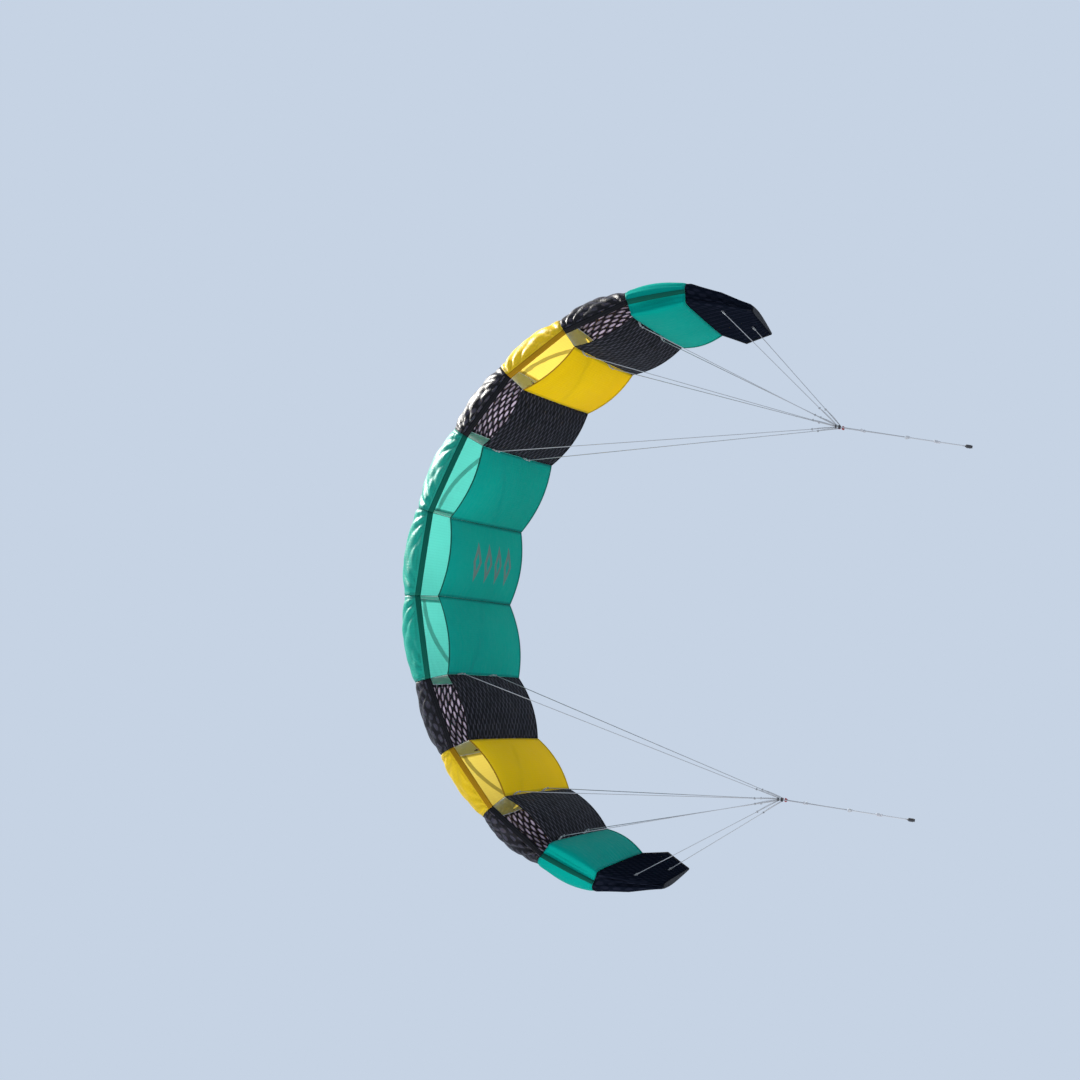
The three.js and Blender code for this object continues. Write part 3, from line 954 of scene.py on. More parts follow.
class Workshop:
    """Turns bmeshes into finished pieces."""

    def __init__(self) -> None:
        """Starts with no pieces."""
        self.made: list[str] = []

    def piece(self, bm: bmesh.types.BMesh, name: str, materials: Sequence[bpy.types.Material],
              slot: str, smooth: bool = True) -> bpy.types.Object:
        """Makes an object of a bmesh.

        Args:
            bm: the mesh, which is used up.
            name: the piece's name.
            materials: its material slots.
            slot: not used.
            smooth: whether its faces are shaded smooth.

        Returns:
            The object, at the origin.
        """
        mesh = bpy.data.meshes.new(name)
        for face in bm.faces:
            face.smooth = smooth
        bm.to_mesh(mesh)
        bm.free()
        for material in materials:
            mesh.materials.append(material)
        made = bpy.data.objects.new(name, mesh)
        bpy.context.scene.collection.objects.link(made)
        self.made.append(name)
        return made

    def cords(self, name: str, finish: Finish, slot: str, *strands: Strand) -> bpy.types.Object:
        """Makes one piece of several strands, each a path, a radius and a number of sides."""
        bm = bmesh.new()
        for path, radius, sides in strands:
            self.tube(bm, path, radius, sides)
        return self.piece(bm, name, [finish.material()], slot)

    @staticmethod
    def thicken(piece: bpy.types.Object, thickness: float, offset: float = -1.0,
                inside_material: int = 0, rim_material: int = 0) -> None:
        """Gives a sheet its thickness; offset -1 puts it all on the inside."""
        solid = piece.modifiers.new("thickness", "SOLIDIFY")
        solid.thickness, solid.offset = thickness, offset
        solid.material_offset, solid.material_offset_rim = inside_material, rim_material

    @staticmethod
    def tube(bm: bmesh.types.BMesh, path: Sequence[Vector], radius: float, sides: int = 8) -> None:
        """Adds a tube along a path, with closed ends and a braid's coordinates.

        Args:
            bm: the mesh that it goes into.
            path: the points that it follows.
            radius: its radius.
            sides: how many sides it has.
        """
        uv = bm.loops.layers.uv.get(CLOTH_UV) or bm.loops.layers.uv.new(CLOTH_UV)
        way = (path[1] - path[0]).normalized()
        turn = Vector((0, 0, 1)).rotation_difference(way)
        place = Matrix.Translation(path[0]) @ turn.to_matrix().to_4x4()
        first = bmesh.ops.create_circle(bm, cap_ends=True, segments=sides, radius=radius, matrix=place)
        ring = list(first["verts"])
        caps = list(ring[0].link_faces)
        order = {vert: i / sides for i, vert in enumerate(ring)}
        reach = {vert: 0.0 for vert in ring}
        edges = caps[0].edges[:]
        far = 0.0
        for i in range(1, len(path)):
            onward = path[min(i + 1, len(path) - 1)] - path[i - 1]
            step = way.rotation_difference(onward.normalized())
            move = Matrix.Translation(path[i]) @ step.to_matrix().to_4x4()
            move = move @ Matrix.Translation(-path[i - 1])
            far += (path[i] - path[i - 1]).length
            grown = bmesh.ops.extrude_edge_only(bm, edges=edges)["geom"]
            verts = [g for g in grown if isinstance(g, bmesh.types.BMVert)]
            for vert in verts:
                others = (edge.other_vert(vert) for edge in vert.link_edges)
                before = next(other for other in others if other in order)
                order[vert], reach[vert] = order[before], far
            edges = [g for g in grown if isinstance(g, bmesh.types.BMEdge)
                     and all(v in verts for v in g.verts)]
            bmesh.ops.transform(bm, matrix=move, verts=verts)
            way = onward.normalized()
        end = bmesh.ops.edgeloop_fill(bm, edges=edges)["faces"]
        faces = {f for vert in order for f in vert.link_faces}
        bmesh.ops.recalc_face_normals(bm, faces=list(faces))
        capped = set(caps) | set(end)
        for face in faces:
            turns = [order[loop.vert] for loop in face.loops]
            wraps = face not in capped and max(turns) - min(turns) > 0.5
            for loop in face.loops:
                turned = order[loop.vert] + (1.0 if wraps and order[loop.vert] < 0.5 else 0.0)
                loop[uv].uv = (turned, reach[loop.vert])

    def sheet(self, name: str, columns: int, rows: int, point: Callable[[float, float], Vector],
              flat: Callable[[float, float], Share], outward: Vector,
              materials: Sequence[bpy.types.Material], slot: str,
              marks: dict[str, Callable[[float, float], float]] | None = None) -> bpy.types.Object:
        """Bends a grid into a sheet.

        Args:
            name: the piece's name.
            columns: steps across.
            rows: steps along.
            point: the place of a share across and along.
            flat: the flat cloth's coordinates there, in metres.
            outward: roughly the way out at the sheet's middle.
            materials: outside and inside materials.
            slot: not used; only passed on to the piece.
            marks: numbers to keep on the mesh's points.

        Returns:
            The sheet, one face thick.
        """
        bm = bmesh.new()
        bmesh.ops.create_grid(bm, x_segments=columns, y_segments=rows, size=0.5)
        uv = bm.loops.layers.uv.new(CLOTH_UV)
        layers = {key: bm.verts.layers.float.new(key) for key in (marks or {})}
        shares = {}
        for vert in bm.verts:
            a, s = round(vert.co.x + 0.5, 6), round(vert.co.y + 0.5, 6)
            shares[vert] = (a, s)
            for key, layer in layers.items():
                vert[layer] = marks[key](a, s)
            vert.co = point(a, s)
        for face in bm.faces:
            for loop in face.loops:
                loop[uv].uv = flat(*shares[loop.vert])
        bm.normal_update()
        bm.faces.ensure_lookup_table()
        far = {vert: (a - 0.5) ** 2 + (s - 0.5) ** 2 for vert, (a, s) in shares.items()}
        middle = min(bm.faces, key=lambda face: sum(far[vert] for vert in face.verts))
        if middle.normal.dot(outward) < 0:
            bmesh.ops.reverse_faces(bm, faces=bm.faces)
        return self.piece(bm, name, materials, slot)


WORKSHOP = Workshop()


# --------------------------------------------------------------------------------- studio
@dataclass(frozen=True)
class View:
    """Where the camera stands, in degrees and metres, and its lens in millimetres."""

    azimuth: float = 0.42
    elevation: float = -12.68
    roll: float = 8.79
    distance: float = 18.496
    right: float = 0.1915
    rise: float = 0.0336
    lens: float = 308.27
    sensor: float = 36.0


@dataclass(frozen=True)
class Lamp:
    """A square soft panel that faces the middle of the kite."""

    name: str
    place: tuple[float, float, float]
    size: float
    power: float
    colour: Colour

    def hang(self, target: Vector) -> None:
        """Puts the lamp in the scene, out of the camera's sight."""
        panel = bpy.data.lights.new(self.name, "AREA")
        panel.size, panel.energy, panel.color = self.size, self.power, self.colour
        lit = bpy.data.objects.new(self.name, panel)
        lit.location = self.place
        lit.rotation_mode = "QUATERNION"
        lit.rotation_quaternion = (target - Vector(self.place)).to_track_quat("-Z", "Y")
        lit.visible_camera = False
        bpy.context.scene.collection.objects.link(lit)


class Studio:
    """Camera, lights, floor and air."""

    LAMPS = (
        Lamp("sun_panel", (3.2, 4.4, 7.4), 1.6, 2500.0, (1.0, 0.965, 0.90)),
        Lamp("fill_panel", (0.8, -6.5, -2.6), 5.0, 70.0, (0.93, 0.97, 1.0)),
        Lamp("side_panel", (-6.0, -3.0, -1.0), 3.0, 300.0, (1.0, 0.98, 0.95)),
    )
    LAMP_TARGET = Vector((0, 0.25, -0.2))
    AIR = (0.565, 0.651, 0.776, 1)
    NEAR, FAR = 0.1, 200.0
    FLOOR_SIZE, FLOOR_HEIGHT = 80.0, -14.0

    def build(self) -> None:
        """Makes everything that isn't the kite."""
        self._camera(View())
        self._air()
        for lamp in self.LAMPS:
            lamp.hang(self.LAMP_TARGET)
        self._floor()

    def _camera(self, view: View) -> None:
        """Looks up at the kite from below, with the right wing at the top of the picture."""
        az, el, roll = (math.radians(a) for a in (view.azimuth, view.elevation, view.roll))
        ahead = Vector((math.sin(az) * math.cos(el), math.cos(az) * math.cos(el), -math.sin(el)))
        top = Vector((1, 0, 0))
        top = (top - ahead * top.dot(ahead)).normalized()
        across = ahead.cross(top)
        right = across * math.cos(roll) + top * math.sin(roll)
        up = top * math.cos(roll) - across * math.sin(roll)
        target = right * view.right + up * view.rise
        lens = bpy.data.cameras.new("camera")
        lens.lens, lens.sensor_width = view.lens, view.sensor
        lens.clip_start, lens.clip_end = self.NEAR, self.FAR
        camera = bpy.data.objects.new("camera", lens)
        turn = Matrix((right, up, -ahead)).transposed()
        camera.matrix_world = Matrix.Translation(target - ahead * view.distance) @ turn.to_4x4()
        bpy.context.scene.collection.objects.link(camera)
        bpy.context.scene.camera = camera

    def _air(self) -> None:
        """An even pale light from all round."""
        scene = bpy.context.scene
        scene.view_settings.view_transform = "Standard"
        scene.world = bpy.data.worlds.new("pale_air")
        scene.world.use_nodes = True
        background = scene.world.node_tree.nodes["Background"]
        background.inputs["Color"].default_value = self.AIR
        background.inputs["Strength"].default_value = 1.0

    def _floor(self) -> None:
        """A wide pale floor well below the kite, which flies above it."""
        bm = bmesh.new()
        bmesh.ops.create_grid(bm, x_segments=8, y_segments=8, size=self.FLOOR_SIZE)
        bmesh.ops.translate(bm, verts=bm.verts, vec=(0, 0, self.FLOOR_HEIGHT))
        mesh = bpy.data.meshes.new("floor")
        bm.to_mesh(mesh)
        bm.free()
        mesh.materials.append(FLOOR_PAINT.material())
        floor = bpy.data.objects.new("floor", mesh)
        bpy.context.scene.collection.objects.link(floor)


# --------------------------------------------------------------------------------- bridle
def stood(spots: Iterable[Vector], middle: Vector, way: Vector) -> list[Vector]:
    """Points about the z axis, moved to stand about a line through middle."""
    turn = Vector((0, 0, 1)).rotation_difference(way.normalized()).to_matrix()
    return [middle + turn @ spot for spot in spots]


@dataclass(frozen=True)
class Overhand:
    """An overhand knot pulled tight: its outer radius, its cord's radius and its cord's sides."""

    radius: float
    cord: float
    sides: int = 8

    def about(self, middle: Vector, way: Vector) -> Strand:
        """The knot's cord, about a line that runs through middle."""
        size = (self.radius - self.cord) / 3
        spots = []
        for share in steps(36):
            a = 2 * math.pi * share
            x, y = math.sin(a) + 2 * math.sin(2 * a), math.cos(a) - 2 * math.cos(2 * a)
            spots.append(Vector((x, y, -1.5 * math.sin(3 * a))) * size)
        return stood(spots, middle, way), self.cord, self.sides


@dataclass(frozen=True)
class Wrap:
    """A cord wound round a line: its turns' radius, their length and number, its own radius."""

    radius: float
    length: float
    turns: float
    cord: float

    def about(self, middle: Vector, way: Vector) -> Strand:
        """The winding's cord, about a line that runs through middle."""
        spots = []
        for share in steps(int(14 * self.turns)):
            a = 2 * math.pi * self.turns * share
            spots.append(Vector((self.radius * math.cos(a), self.radius * math.sin(a),
                                 self.length * (share - 0.5))))
        return stood(spots, middle, way), self.cord, 8


@dataclass(frozen=True)
class BridlePlan:
    """Sizes of the lines and their knots, and where they gather."""

    gather_x: float = 0.376
    gather_y: dict[Row, float] = field(default_factory=lambda: {Row.FRONT: 0.108, Row.REAR: 0.150})
    gather_z: float = -0.734
    merge_y: float = 0.129
    merge_z: float = -0.868
    tab_drop: float = 0.010
    tip_tabs: dict[Row, Share] = field(
        default_factory=lambda: {Row.FRONT: (0.5, 0.12), Row.REAR: (0.8, 0.6)})
    line_gap: float = 0.0012
    line_bow: float = 0.0012
    line_width: float = 0.0015
    line_spread: float = 0.0011
    line_splay: float = 0.0016
    strand_radius: float = 0.0006
    loop: float = 0.050
    pigtail_width: float = 0.0020
    pigtail_spread: float = 0.0012
    flying_width: float = 0.0025
    flying_length: float = 0.118
    tuck: float = 0.0048
    hitch: Overhand = Overhand(0.0026, 0.0007, 6)
    hitch_drop: float = 0.003
    loop_knot: Overhand = Overhand(0.0028, 0.0007, 6)
    gather_knot: Overhand = Overhand(0.0045, 0.0013)
    whipping: Wrap = Wrap(0.0028, 0.0036, 2.5, 0.0008)
    whipping_rise: float = 0.0075
    tie_knot: Overhand = Overhand(0.0036, 0.0010)
    tie: float = 0.045
    joint_wrap: Wrap = Wrap(0.0022, 0.008, 3.5, 0.0009)
    joint_drop: float = 0.002
    larks_wrap: Wrap = Wrap(0.0024, 0.0075, 3.0, 0.0011)
    larks_knot: Overhand = Overhand(0.0034, 0.0010)
    larks_head: float = 0.060
    larks_length: float = 0.0062
    end_wrap: Wrap = Wrap(0.0029, 0.0095, 6.0, 0.0009)
    end_wrap_drop: float = 0.0004


class Bridle:
    """Bridle lines, pigtails and flying lines of one wing."""

    def __init__(self, side: Side, plan: BridlePlan = BridlePlan()) -> None:
        """Keeps the wing and its sizes."""
        self.side, self.plan = side, plan
        self.name = side.value

    def build(self) -> None:
        """Makes the lines from the canopy down."""
        for row in Row:
            for number, tab in enumerate(self.tabs(row), 1):
                self._line(row, number, tab)
            self._pigtail(row)
        self._flying_line()

    def gather(self, row: Row) -> Vector:
        """The middle of a row's gathering knot."""
        plan = self.plan
        return Vector((self.side.sign * plan.gather_x, plan.gather_y[row], plan.gather_z))

    @property
    def merge(self) -> Vector:
        """The middle of the knot that joins the pigtails."""
        plan = self.plan
        return Vector((self.side.sign * plan.gather_x, plan.merge_y, plan.merge_z))

    def tabs(self, row: Row) -> list[Vector]:
        """The lower ends of a row's tabs: three ribs' and the tip cell's."""
        share = PLAN.row_shares[row]
        points = []
        for number in PLAN.bridled_ribs:
            rib = PLAN.rib(number, self.side)
            low = PLAN.lower_height(rib, share) - self.plan.tab_drop
            points.append(rib.place(share * rib.chord, low))
        across, along = self.plan.tip_tabs[row]
        points.append(CellSurface(PLAN.last_cell, self.side, PLAN.lower).point(across, 1 - along))
        return points

    def _line(self, row: Row, number: int, tab: Vector) -> None:
        """One bridle line, with its loop and knots."""
        plan = self.plan
        name = f"{self.name}_{row.value}_line_{number}"
        aside = self.side.sign * plan.line_spread * (number - 2.5)
        end = self.gather(row) + Vector((aside, 0, plan.tuck))
        start = tab.lerp(end, plan.line_gap / (end - tab).length)
        bow = Vector((0, plan.line_bow, 0))
        path = [start.lerp(end, s) + bow * math.sin(math.pi * s) for s in steps(18)]
        line = WORKSHOP.cords(f"{name}_cord", LINE, "bridle_line", (path, plan.line_width / 2, 8))
        way = (end - start).normalized()
        knots = self._line_knots(name, start, end, way)
        round(path_length(path), 3)
        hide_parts(name)
        carrier = Carrier(f"{self.name}_wing")
        if number > len(PLAN.bridled_ribs):
            held = end - way * (plan.loop + 0.012)
            carrier = Carrier(f"{self.name}_wing", f"{self.name}_tip", held, start + way * 0.004)
        carrier.carry(line)
        carrier.carry(knots)

    def _line_knots(self, name: str, start: Vector, end: Vector, way: Vector) -> bpy.types.Object:
        """The hitch below the tab, the loop's knot and the loop's second strand."""
        plan = self.plan
        tied = end - way * plan.loop
        aside = way.cross(Vector((0, 1, 0))).normalized() * plan.line_splay
        strand = [tied.lerp(end, s) + aside * math.sin(math.pi * s) ** 0.5 for s in steps(10)]
        return WORKSHOP.cords(
            f"{name}_knots", LINE, "bridle_line", plan.hitch.about(start + way * plan.hitch_drop, way),
            plan.loop_knot.about(tied, way), (strand, plan.strand_radius, 6),
        )

    def _pigtail(self, row: Row) -> None:
        """A pigtail from its gathering knot down to the flying line."""
        plan = self.plan
        name = f"{self.name}_{row.value}_pigtail"
        top, bottom, up = self.gather(row), self.merge, Vector((0, 0, 1))
        bottom += Vector((0, math.copysign(plan.pigtail_spread, top.y - bottom.y), plan.tuck))
        way = (bottom - top).normalized()
        path = [top.lerp(bottom, s) for s in steps(16)]
        finish = DARK_KNOT if row is Row.FRONT else RED_KNOT
        pigtail = WORKSHOP.cords(f"{name}_cord", PIGTAIL, "pigtail", (path, plan.pigtail_width / 2, 8))
        knot = WORKSHOP.cords(f"{name}_gather_knot", finish, "pigtail", plan.gather_knot.about(top, way))
        whipping = WORKSHOP.cords(f"{name}_whipping", finish, "bridle_line",
                                  plan.whipping.about(top + up * plan.whipping_rise, up))
        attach(whipping, f"{self.name}_wing")
        tie = WORKSHOP.cords(f"{name}_stop_knot", WHITE_KNOT, "pigtail",
                             plan.tie_knot.about(top + way * plan.tie, way))
        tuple(top)
        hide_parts(name)
        for part in (pigtail, knot, tie):
            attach(part, f"{self.name}_pigtails")

    def _flying_line(self) -> None:
        """The flying line, its lark's head and the stopper on its end."""
        plan = self.plan
        name, slot = f"{self.name}_flying_line", "flying_line"
        top, down = self.merge, Vector((0, 0, -1))
        hitch = top + down * plan.larks_head
        path = [top + down * plan.flying_length * s for s in steps(18)]
        line = WORKSHOP.cords(f"{name}_cord", SLEEVE, slot, (path, plan.flying_width / 2, 12))
        joint = WORKSHOP.cords(f"{name}_joining_knot", SLEEVE, slot, plan.gather_knot.about(top, down),
                               plan.joint_wrap.about(top + down * plan.joint_drop, down))
        head = WORKSHOP.cords(f"{name}_larks_head", WHITE_KNOT, slot, plan.larks_wrap.about(hitch, down),
                              plan.larks_knot.about(hitch + down * plan.larks_length, down))
        stopper = self._stopper(path[-1])
        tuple(top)
        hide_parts(name)
        for part in (line, joint, head, stopper):
            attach(part, f"{self.name}_flying_line")

    def _stopper(self, top: Vector) -> bpy.types.Object:
        """The line's end wound back on itself into a hard stopper with a flat foot."""
        name = f"{self.name}_line_end"
        low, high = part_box(name)
        length = high.z - low.z
        foot, waist, neck = (0.0033, 0.0008), (0.0026, 0.0018), (0.0016, length - 0.001)
        profile = ((0.0, 0.0), (0.0030, 0.0), foot, waist, (waist[0], length - 0.004), neck, (0.0, length))
        bm = bmesh.new()
        verts = [bm.verts.new((r, 0, z)) for r, z in profile]
        edges = [bm.edges.new(pair) for pair in zip(verts, verts[1:])]
        bmesh.ops.spin(bm, geom=verts + edges, axis=(0, 0, 1), cent=(0, 0, 0), steps=20,
                       angle=2 * math.pi, use_merge=True)
        bmesh.ops.remove_doubles(bm, verts=bm.verts, dist=1e-6)
        bmesh.ops.recalc_face_normals(bm, faces=bm.faces)
        bmesh.ops.translate(bm, verts=bm.verts, vec=(top.x, top.y, low.z))
        middle = Vector((top.x, top.y, (low.z + high.z) / 2 - self.plan.end_wrap_drop))
        WORKSHOP.tube(bm, *self.plan.end_wrap.about(middle, Vector((0, 0, 1))))
        stopper = WORKSHOP.piece(bm, f"{name}_stopper", [DARK_KNOT.material()], "stopper")
        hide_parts(name)
        return stopper


# --------------------------------------------------------------------------------- canopy
@dataclass(frozen=True)
class CanopySizes:
    """Thicknesses and widths of the canopy's cloth, hems, tapes and webbing."""

    fabric: float = 0.0005
    seam_inset: float = 0.00045
    rib_cloth: float = 0.0007
    rib_inset: float = 0.0006
    hem: float = 0.0011
    hem_roll: float = 0.0008
    upper_hem: float = 0.0105
    lower_hem: float = 0.0045
    edge_tape: float = 0.0075
    edge_fold: float = 0.0012
    edge_lap: float = 0.0005
    edge_proud: float = 0.0003
    tape_cloth: float = 0.0004
    webbing: float = 0.0006
    webbing_width: float = 0.009
    webbing_bend: float = 0.0011
    webbing_run: float = 0.03
    columns: int = 44


SIZES = CanopySizes()


@dataclass(frozen=True)
class SkinGrid:
    """A skin's steps along, and how much closer the first ones are than the last."""

    rows: int
    crowding: float

    def share(self, step: float) -> float:
        """The share of the fabric's length at a share of the steps."""
        return step * (1 - self.crowding) + self.crowding * step * step


class Cell:
    """One cell of the canopy: its skins, its lips' hems and its trailing edge's tape."""

    UPPER, LOWER, WRAPPED = SkinGrid(130, 0.55), SkinGrid(70, -0.4), SkinGrid(190, 0.0)
    # the cells whose inner faces carry the painted shadow band
    STRAPPED = (1, 3)

    def __init__(self, number: int, side: Side) -> None:
        """Keeps which cell it is."""
        self.number, self.side = number, side
        self.hue = CELL_HUES[number]

    @property
    def is_open(self) -> bool:
        """Whether it has an intake."""
        return self.number <= PLAN.last_open_cell

    def _named(self, kind: str) -> str:
        """The name of one of its pieces."""
        return f"{self.side.value}_{kind}_{self.number}" if self.number else f"centre_{kind}"

    @cached_property
    def carrier(self) -> Carrier:
        """The body that the cell rides on, or the two that it lies between."""
        numbers = (max(self.number, 1), self.number + 1)
        near, far = (PLAN.rib_body(number, self.side) for number in numbers)
        if near == far:
            return Carrier(near)
        lips = (PLAN.rib(number, self.side).lip for number in numbers)
        return Carrier(near, far, *(Vector((lip.x, 0, lip.z)) for lip in lips))

    def build(self) -> None:
        """Makes the cell's pieces."""
        if self.is_open:
            upper = CellSurface(self.number, self.side, PLAN.upper)
            lower = CellSurface(self.number, self.side, PLAN.lower)
            self._skin("upper_skin", upper, self.UPPER, upper.way_up)
            self._skin("lower_skin", lower, self.LOWER, -lower.way_up)
            self._hem("upper_lip_hem", upper, 0.0, SIZES.upper_hem, 1)
            self._hem("lower_lip_hem", lower, lower.length, -SIZES.lower_hem, -1)
        else:
            kind = "tip_cell" if self.number == PLAN.last_cell else "closed_cell"
            upper = lower = CellSurface(self.number, self.side, PLAN.wrap)
            self._skin(kind, upper, self.WRAPPED, -upper.inner.along)
            if self.number < PLAN.last_cell:
                self._hem("nose_seam", upper, upper.run_at(PLAN.nose_seam), SIZES.upper_hem, 1)
        self._edge_tape(upper, lower)

    @staticmethod
    def _inset(surface: CellSurface, across: float) -> float:
        """A share across the cell, kept clear of the ribs."""
        inset = SIZES.seam_inset / surface.width
        return inset + (1 - 2 * inset) * across

    def _cloths(self, underside: bool) -> list[bpy.types.Material]:
        """The materials of a skin's outer and inner faces: copies of one cloth, painted lighter or darker
        for how each face is lit.
        """
        below = underside or (not self.is_open and self.hue in UNDERSIDES_PAINTED_LIGHT)
        outside = (UNDERSIDES_PAINTED_LIGHT if below else OUTSIDES)[self.hue]
        if underside and self.number == 0:
            outside = CENTRE_UNDERSIDE_PAINTED_LIGHT
        inside = (SHADOW_BANDED_INSIDES if self.number in self.STRAPPED else INSIDES_PAINTED_LIGHT)[self.hue]
        return [outside.material(), inside.material()]

    def _skin(self, kind: str, surface: CellSurface, grid: SkinGrid, outward: Vector) -> None:
        """One skin of the cell, as a stretched sheet of ripstop.

        Args:
            kind: the end of the piece's name, which is also its CAD node's.
            surface: the surface that it follows.
            grid: its steps along.
            outward: the way out at its middle.
        """
        name, width, length = self._named(kind), surface.width, surface.length
        places = [surface.t_at(length * grid.share(step)) for step in steps(grid.rows)]
        skin = WORKSHOP.sheet(
            f"{name}_cloth", SIZES.columns, grid.rows,
            lambda a, s: surface.point(self._inset(surface, a), places[round(s * grid.rows)]),
            lambda a, s: (a * width, length * grid.share(s)),
            outward, self._cloths(grid is self.LOWER), SLOTS[self.hue],
            {SEAM_ATTRIBUTE: lambda a, s: min(a, 1 - a) * width},
        )
        Workshop.thicken(skin, SIZES.fabric, inside_material=1)
        arcs = [surface.arc(t) for t in steps(10)]
        seams = [surface.seam_length(rib) for rib in (surface.inner, surface.outer)]
        area = sum(arcs) / len(arcs) * (length + sum(seams) / 2) / 2
        flat = (round(max(arcs), 3), round(max(length, *seams), 3))
        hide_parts(name)
        self.carrier.carry(skin)
        LOG.info("%s, flat %.3f by %.3f", name, *flat)

    def _hem(self, kind: str, surface: CellSurface, start: float, width: float, way: int) -> None:
        """The folded hem along a lip of the intake, or over the closed nose's seam."""
        outward = surface.way_up * way - surface.inner.along * (not self.is_open)
        proud = (SIZES.hem - SIZES.fabric) / 2
        places = [surface.t_at(start + width * s) for s in steps(4)]
        lip = surface.point(0.5, surface.t_at(start)) - surface.point(0.5, places[1])
        ahead = [lip.normalized() * SIZES.hem_roll] + [Vector()] * 4

        def point(a: float, s: float) -> Vector:
            """A point of the hem, which starts a little ahead of the lip."""
            i = round(s * 4)
            return surface.point(self._inset(surface, a), places[i], -proud) + ahead[i]

        hem = WORKSHOP.sheet(
            self._named(kind), SIZES.columns, 4, point, lambda a, s: (a * surface.width, s * abs(width)),
            outward, [SHADED_HEMS[self.hue].material()], SLOTS[self.hue],
        )
        Workshop.thicken(hem, SIZES.hem)
        self.carrier.carry(hem)

    def _edge_tape(self, upper: CellSurface, lower: CellSurface) -> None:
        """The tape folded round the trailing edge."""
        tape, fold, lap = SIZES.edge_tape, SIZES.edge_fold, SIZES.edge_lap
        back = upper.inner.along
        wide = [(lower, tape, 0.0), (lower, lap, 0.0), (lower, 0.0, fold), (upper, 0.0, fold),
                (upper, lap, 0.0), (upper, tape, 0.0)]

        def point(a: float, s: float) -> Vector:
            """A point of the tape, from the underside round to the top."""
            surface, run, behind = wide[round(s * 5)]
            t = surface.t_at(run if surface is lower else surface.length - run)
            return surface.point(self._inset(surface, a), t, -SIZES.edge_proud) + back * behind

        piece = WORKSHOP.sheet(
            self._named("trailing_tape"), SIZES.columns, 5, point,
            lambda a, s: (a * upper.width, s * 2 * tape),
            back, [EDGE_TAPES[self.hue].material()], SLOTS[self.hue],
        )
        Workshop.thicken(piece, SIZES.tape_cloth)
        self.carrier.carry(piece)


@dataclass(frozen=True)
class WebbingLoop:
    """A loop of webbing for a bridle line, sewn to the canopy.

    Attributes:
        foot: where it is sewn on.
        beside: the direction of the webbing's width.
        flat: the direction from one leg to the other.
        up: the direction from the loop's bend to its foot.
        legs: heights of each leg's points over the foot, from the top.
        drop: how far its bend is below the foot.
        roundness: height of the bend over half the gap between the legs.
        narrowing: the share of its width that it loses at the bend.
    """

    foot: Vector
    beside: Vector
    flat: Vector
    up: Vector
    legs: tuple[float, ...]
    drop: float
    roundness: float = 1.0
    narrowing: float = 0.0

    def _profile(self) -> list[Share]:
        """The loop from the side: down one leg, round the bend and up the other."""
        bend = SIZES.webbing_bend
        rise = bend * self.roundness
        leg = [(bend, height) for height in self.legs]
        turns = [math.pi * s for s in steps(6)]
        arc = [(bend * math.cos(a), rise - self.drop - rise * math.sin(a)) for a in turns]
        return leg + arc + [(-x, y) for x, y in reversed(leg)]

    def sew(self, name: str, body: str) -> None:
        """Makes the loop, which moves with a body."""
        profile, half = self._profile(), SIZES.webbing_width / 2
        last = len(profile) - 1

        def point(a: float, s: float) -> Vector:
            """A point of the webbing: across its width, and along the loop."""
            side, height = profile[round(s * last)]
            wide = half * (1 - self.narrowing * blend_between(0.0, -self.drop, height))
            return self.foot + self.beside * ((2 * a - 1) * wide) + self.flat * side + self.up * height

        tab = WORKSHOP.sheet(
            name, 6, last, point, lambda a, s: (s * SIZES.webbing_run, a * SIZES.webbing_width),
            -self.up, [WEBBING.material()], "bridle_line",
        )
        Workshop.thicken(tab, SIZES.webbing)
        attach(tab, body)


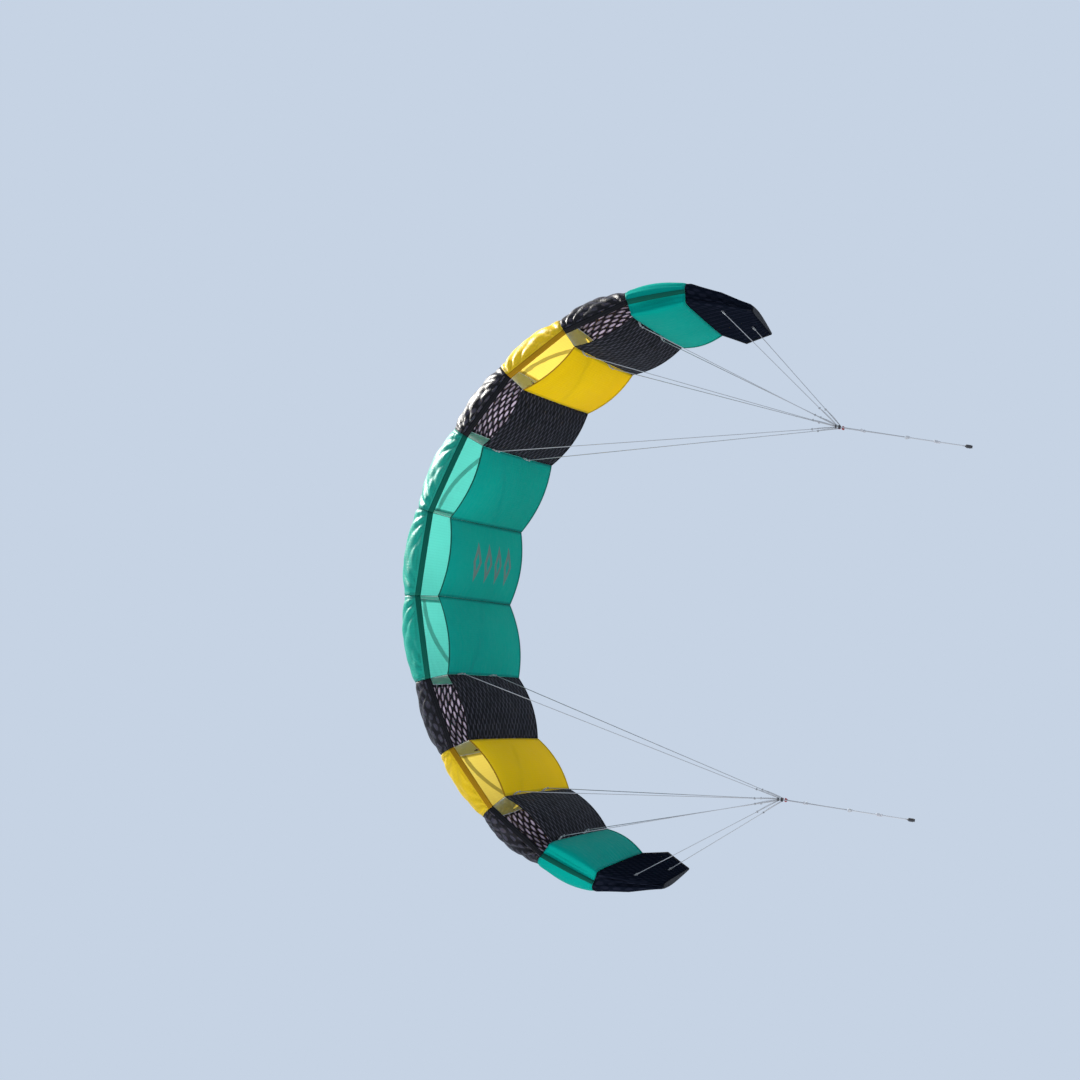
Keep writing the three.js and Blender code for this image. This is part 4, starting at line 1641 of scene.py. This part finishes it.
class Rib:
    """One rib of the canopy, with its vent and its bridle tabs."""

    VENT_AT, VENT_HEIGHT, VENT_RADIUS = 0.42, 0.44, 0.26
    CUT_LENGTH, CUT_HEIGHT, LEAST_HEIGHT, LEAST_FILL = 1.03, 1.1, 0.016, 0.31
    INSIDE = 0.02

    def __init__(self, number: int, side: Side) -> None:
        """Keeps which rib it is."""
        self.number, self.side = number, side
        self.frame = PLAN.rib(number, side)
        self.name = f"{side.value}_rib_{number}"
        self.body = PLAN.rib_body(number, side)

    def build(self) -> None:
        """Makes the rib and its tabs."""
        outline = self._outline()
        bm = bmesh.new()
        edges = self._ring(bm, outline)
        if self.number <= PLAN.last_vented_rib:
            edges += self._ring(bm, self._vent())
        bmesh.ops.triangle_fill(bm, use_beauty=True, edges=edges)
        self._stand_up(bm)
        at_tip = self.number == len(PLAN.chords)
        cloth, slot = (TIP_RIB_CLOTH, "black_ripstop") if at_tip else (RIB_CLOTH, "pale_ripstop")
        finishes = [cloth.material(), SEAM_SHADE_EDGE.material()]
        rib = WORKSHOP.piece(bm, f"{self.name}_cloth", finishes, slot, smooth=False)
        Workshop.thicken(rib, SIZES.rib_cloth, offset=0.0, rim_material=1)
        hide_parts(self.name)
        around = zip(outline, outline[1:] + outline[:1])
        area = abs(sum(a[0] * b[1] - b[0] * a[1] for a, b in around)) / 2
        flat = (round(self.frame.chord * self.CUT_LENGTH, 3),
                round(max(self.frame.thickness * self.CUT_HEIGHT, self.LEAST_HEIGHT), 3))
        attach(rib, self.body)
        if self.number in PLAN.bridled_ribs:
            for row, share in PLAN.row_shares.items():
                self._tab(row, share)
        LOG.info("%s on %s", self.name, self.body)

    def _outline(self) -> list[Share]:
        """The rib's outline, just inside the skins, so that only its dark edge shows, as painted shade
        along the seam.
        """
        outline = []
        for section, count in ((PLAN.lower, 36), (PLAN.upper, 56)):
            line = [PLAN.on_section(self.frame, section, 1 - t) for t in steps(count)]
            for i, (x, y) in enumerate(line):
                a, b = line[max(i - 1, 0)], line[min(i + 1, len(line) - 1)]
                run = Vector((b[0] - a[0], b[1] - a[1])).normalized() * SIZES.rib_inset
                outline.append((x - run.y, y + run.x))
        return outline

    def _vent(self) -> list[Share]:
        """The round vent between two cells."""
        chord, thickness = self.frame.chord, self.frame.thickness
        turns = [2 * math.pi * s for s in steps(32)[:-1]]
        return [(self.VENT_AT * chord + self.VENT_RADIUS * thickness * math.cos(a),
                 (self.VENT_HEIGHT + self.VENT_RADIUS * math.sin(a)) * thickness) for a in turns]

    @staticmethod
    def _ring(bm: bmesh.types.BMesh, points: Iterable[Share]) -> list[bmesh.types.BMEdge]:
        """A closed ring of edges in the rib's plane."""
        verts = [bm.verts.new((x, y, 0)) for x, y in points]
        return [bm.edges.new((a, b)) for a, b in zip(verts, verts[1:] + verts[:1])]

    def _stand_up(self, bm: bmesh.types.BMesh) -> None:
        """Writes the cloth's coordinates, then stands the rib in its place."""
        uv = bm.loops.layers.uv.new(CLOTH_UV)
        seam = bm.verts.layers.float.new(SEAM_ATTRIBUTE)
        for face in bm.faces:
            for loop in face.loops:
                loop[uv].uv = loop.vert.co.xy
        for vert in bm.verts:
            vert[seam] = self.INSIDE
        turn = Matrix((self.frame.along, self.frame.up, self.frame.across)).transposed().to_4x4()
        bmesh.ops.transform(bm, matrix=Matrix.Translation(self.frame.lip) @ turn, verts=bm.verts)
        bmesh.ops.recalc_face_normals(bm, faces=bm.faces)

    def _tab(self, row: Row, share: float) -> None:
        """A loop of webbing sewn into the seam, for a bridle line."""
        rib, drop = self.frame, BridlePlan().tab_drop
        foot = rib.place(share * rib.chord, PLAN.lower_height(rib, share))
        loop = WebbingLoop(foot, rib.along, rib.across, rib.up, (0.004, 0.0, -drop * 0.5), drop, 1.2, 0.25)
        loop.sew(f"{self.name}_{row.value}_tab", self.body)


class TipTabs:
    """The loops of webbing on the undersides of the tip cells."""

    DROP = 0.009
    PROBE = 0.01

    def __init__(self, side: Side) -> None:
        """Keeps the wing."""
        self.side = side
        self.surface = CellSurface(PLAN.last_cell, side, PLAN.lower)

    def build(self) -> None:
        """Makes both loops, each from the skin towards its line."""
        for row, (across, along) in BridlePlan().tip_tabs.items():
            t = 1 - along
            foot, ahead, behind = (self.surface.point(across, t + d) for d in (0, -self.PROBE, self.PROBE))
            beside = (ahead - behind).normalized()
            aim = (Bridle(self.side).gather(row) - foot).normalized()
            legs = (0.003, -0.002, -self.DROP * 0.6)
            loop = WebbingLoop(foot, beside, aim.cross(beside).normalized(), -aim, legs, self.DROP)
            loop.sew(f"{self.side.value}_tip_{row.value}_tab", f"{self.side.value}_tip")


class Canopy:
    """All cells and ribs."""

    def build(self) -> None:
        """Makes the centre cell, then each wing from the centre out."""
        Cell(0, Side.RIGHT).build()
        for side in Side:
            for number in range(1, PLAN.last_cell + 1):
                Cell(number, side).build()
            for number in range(1, len(PLAN.chords) + 1):
                Rib(number, side).build()
            TipTabs(side).build()


def main() -> None:
    """Builds the studio, the lines and the canopy, in that order."""
    logging.basicConfig(level=logging.INFO, format="%(name)s: %(message)s")
    Studio().build()
    for side in Side:
        Bridle(side).build()
        LOG.info("bridle of the %s wing", side.value)
    Canopy().build()
    LOG.info("%d pieces", len(WORKSHOP.made))


if __name__ == "__main__":
    main()
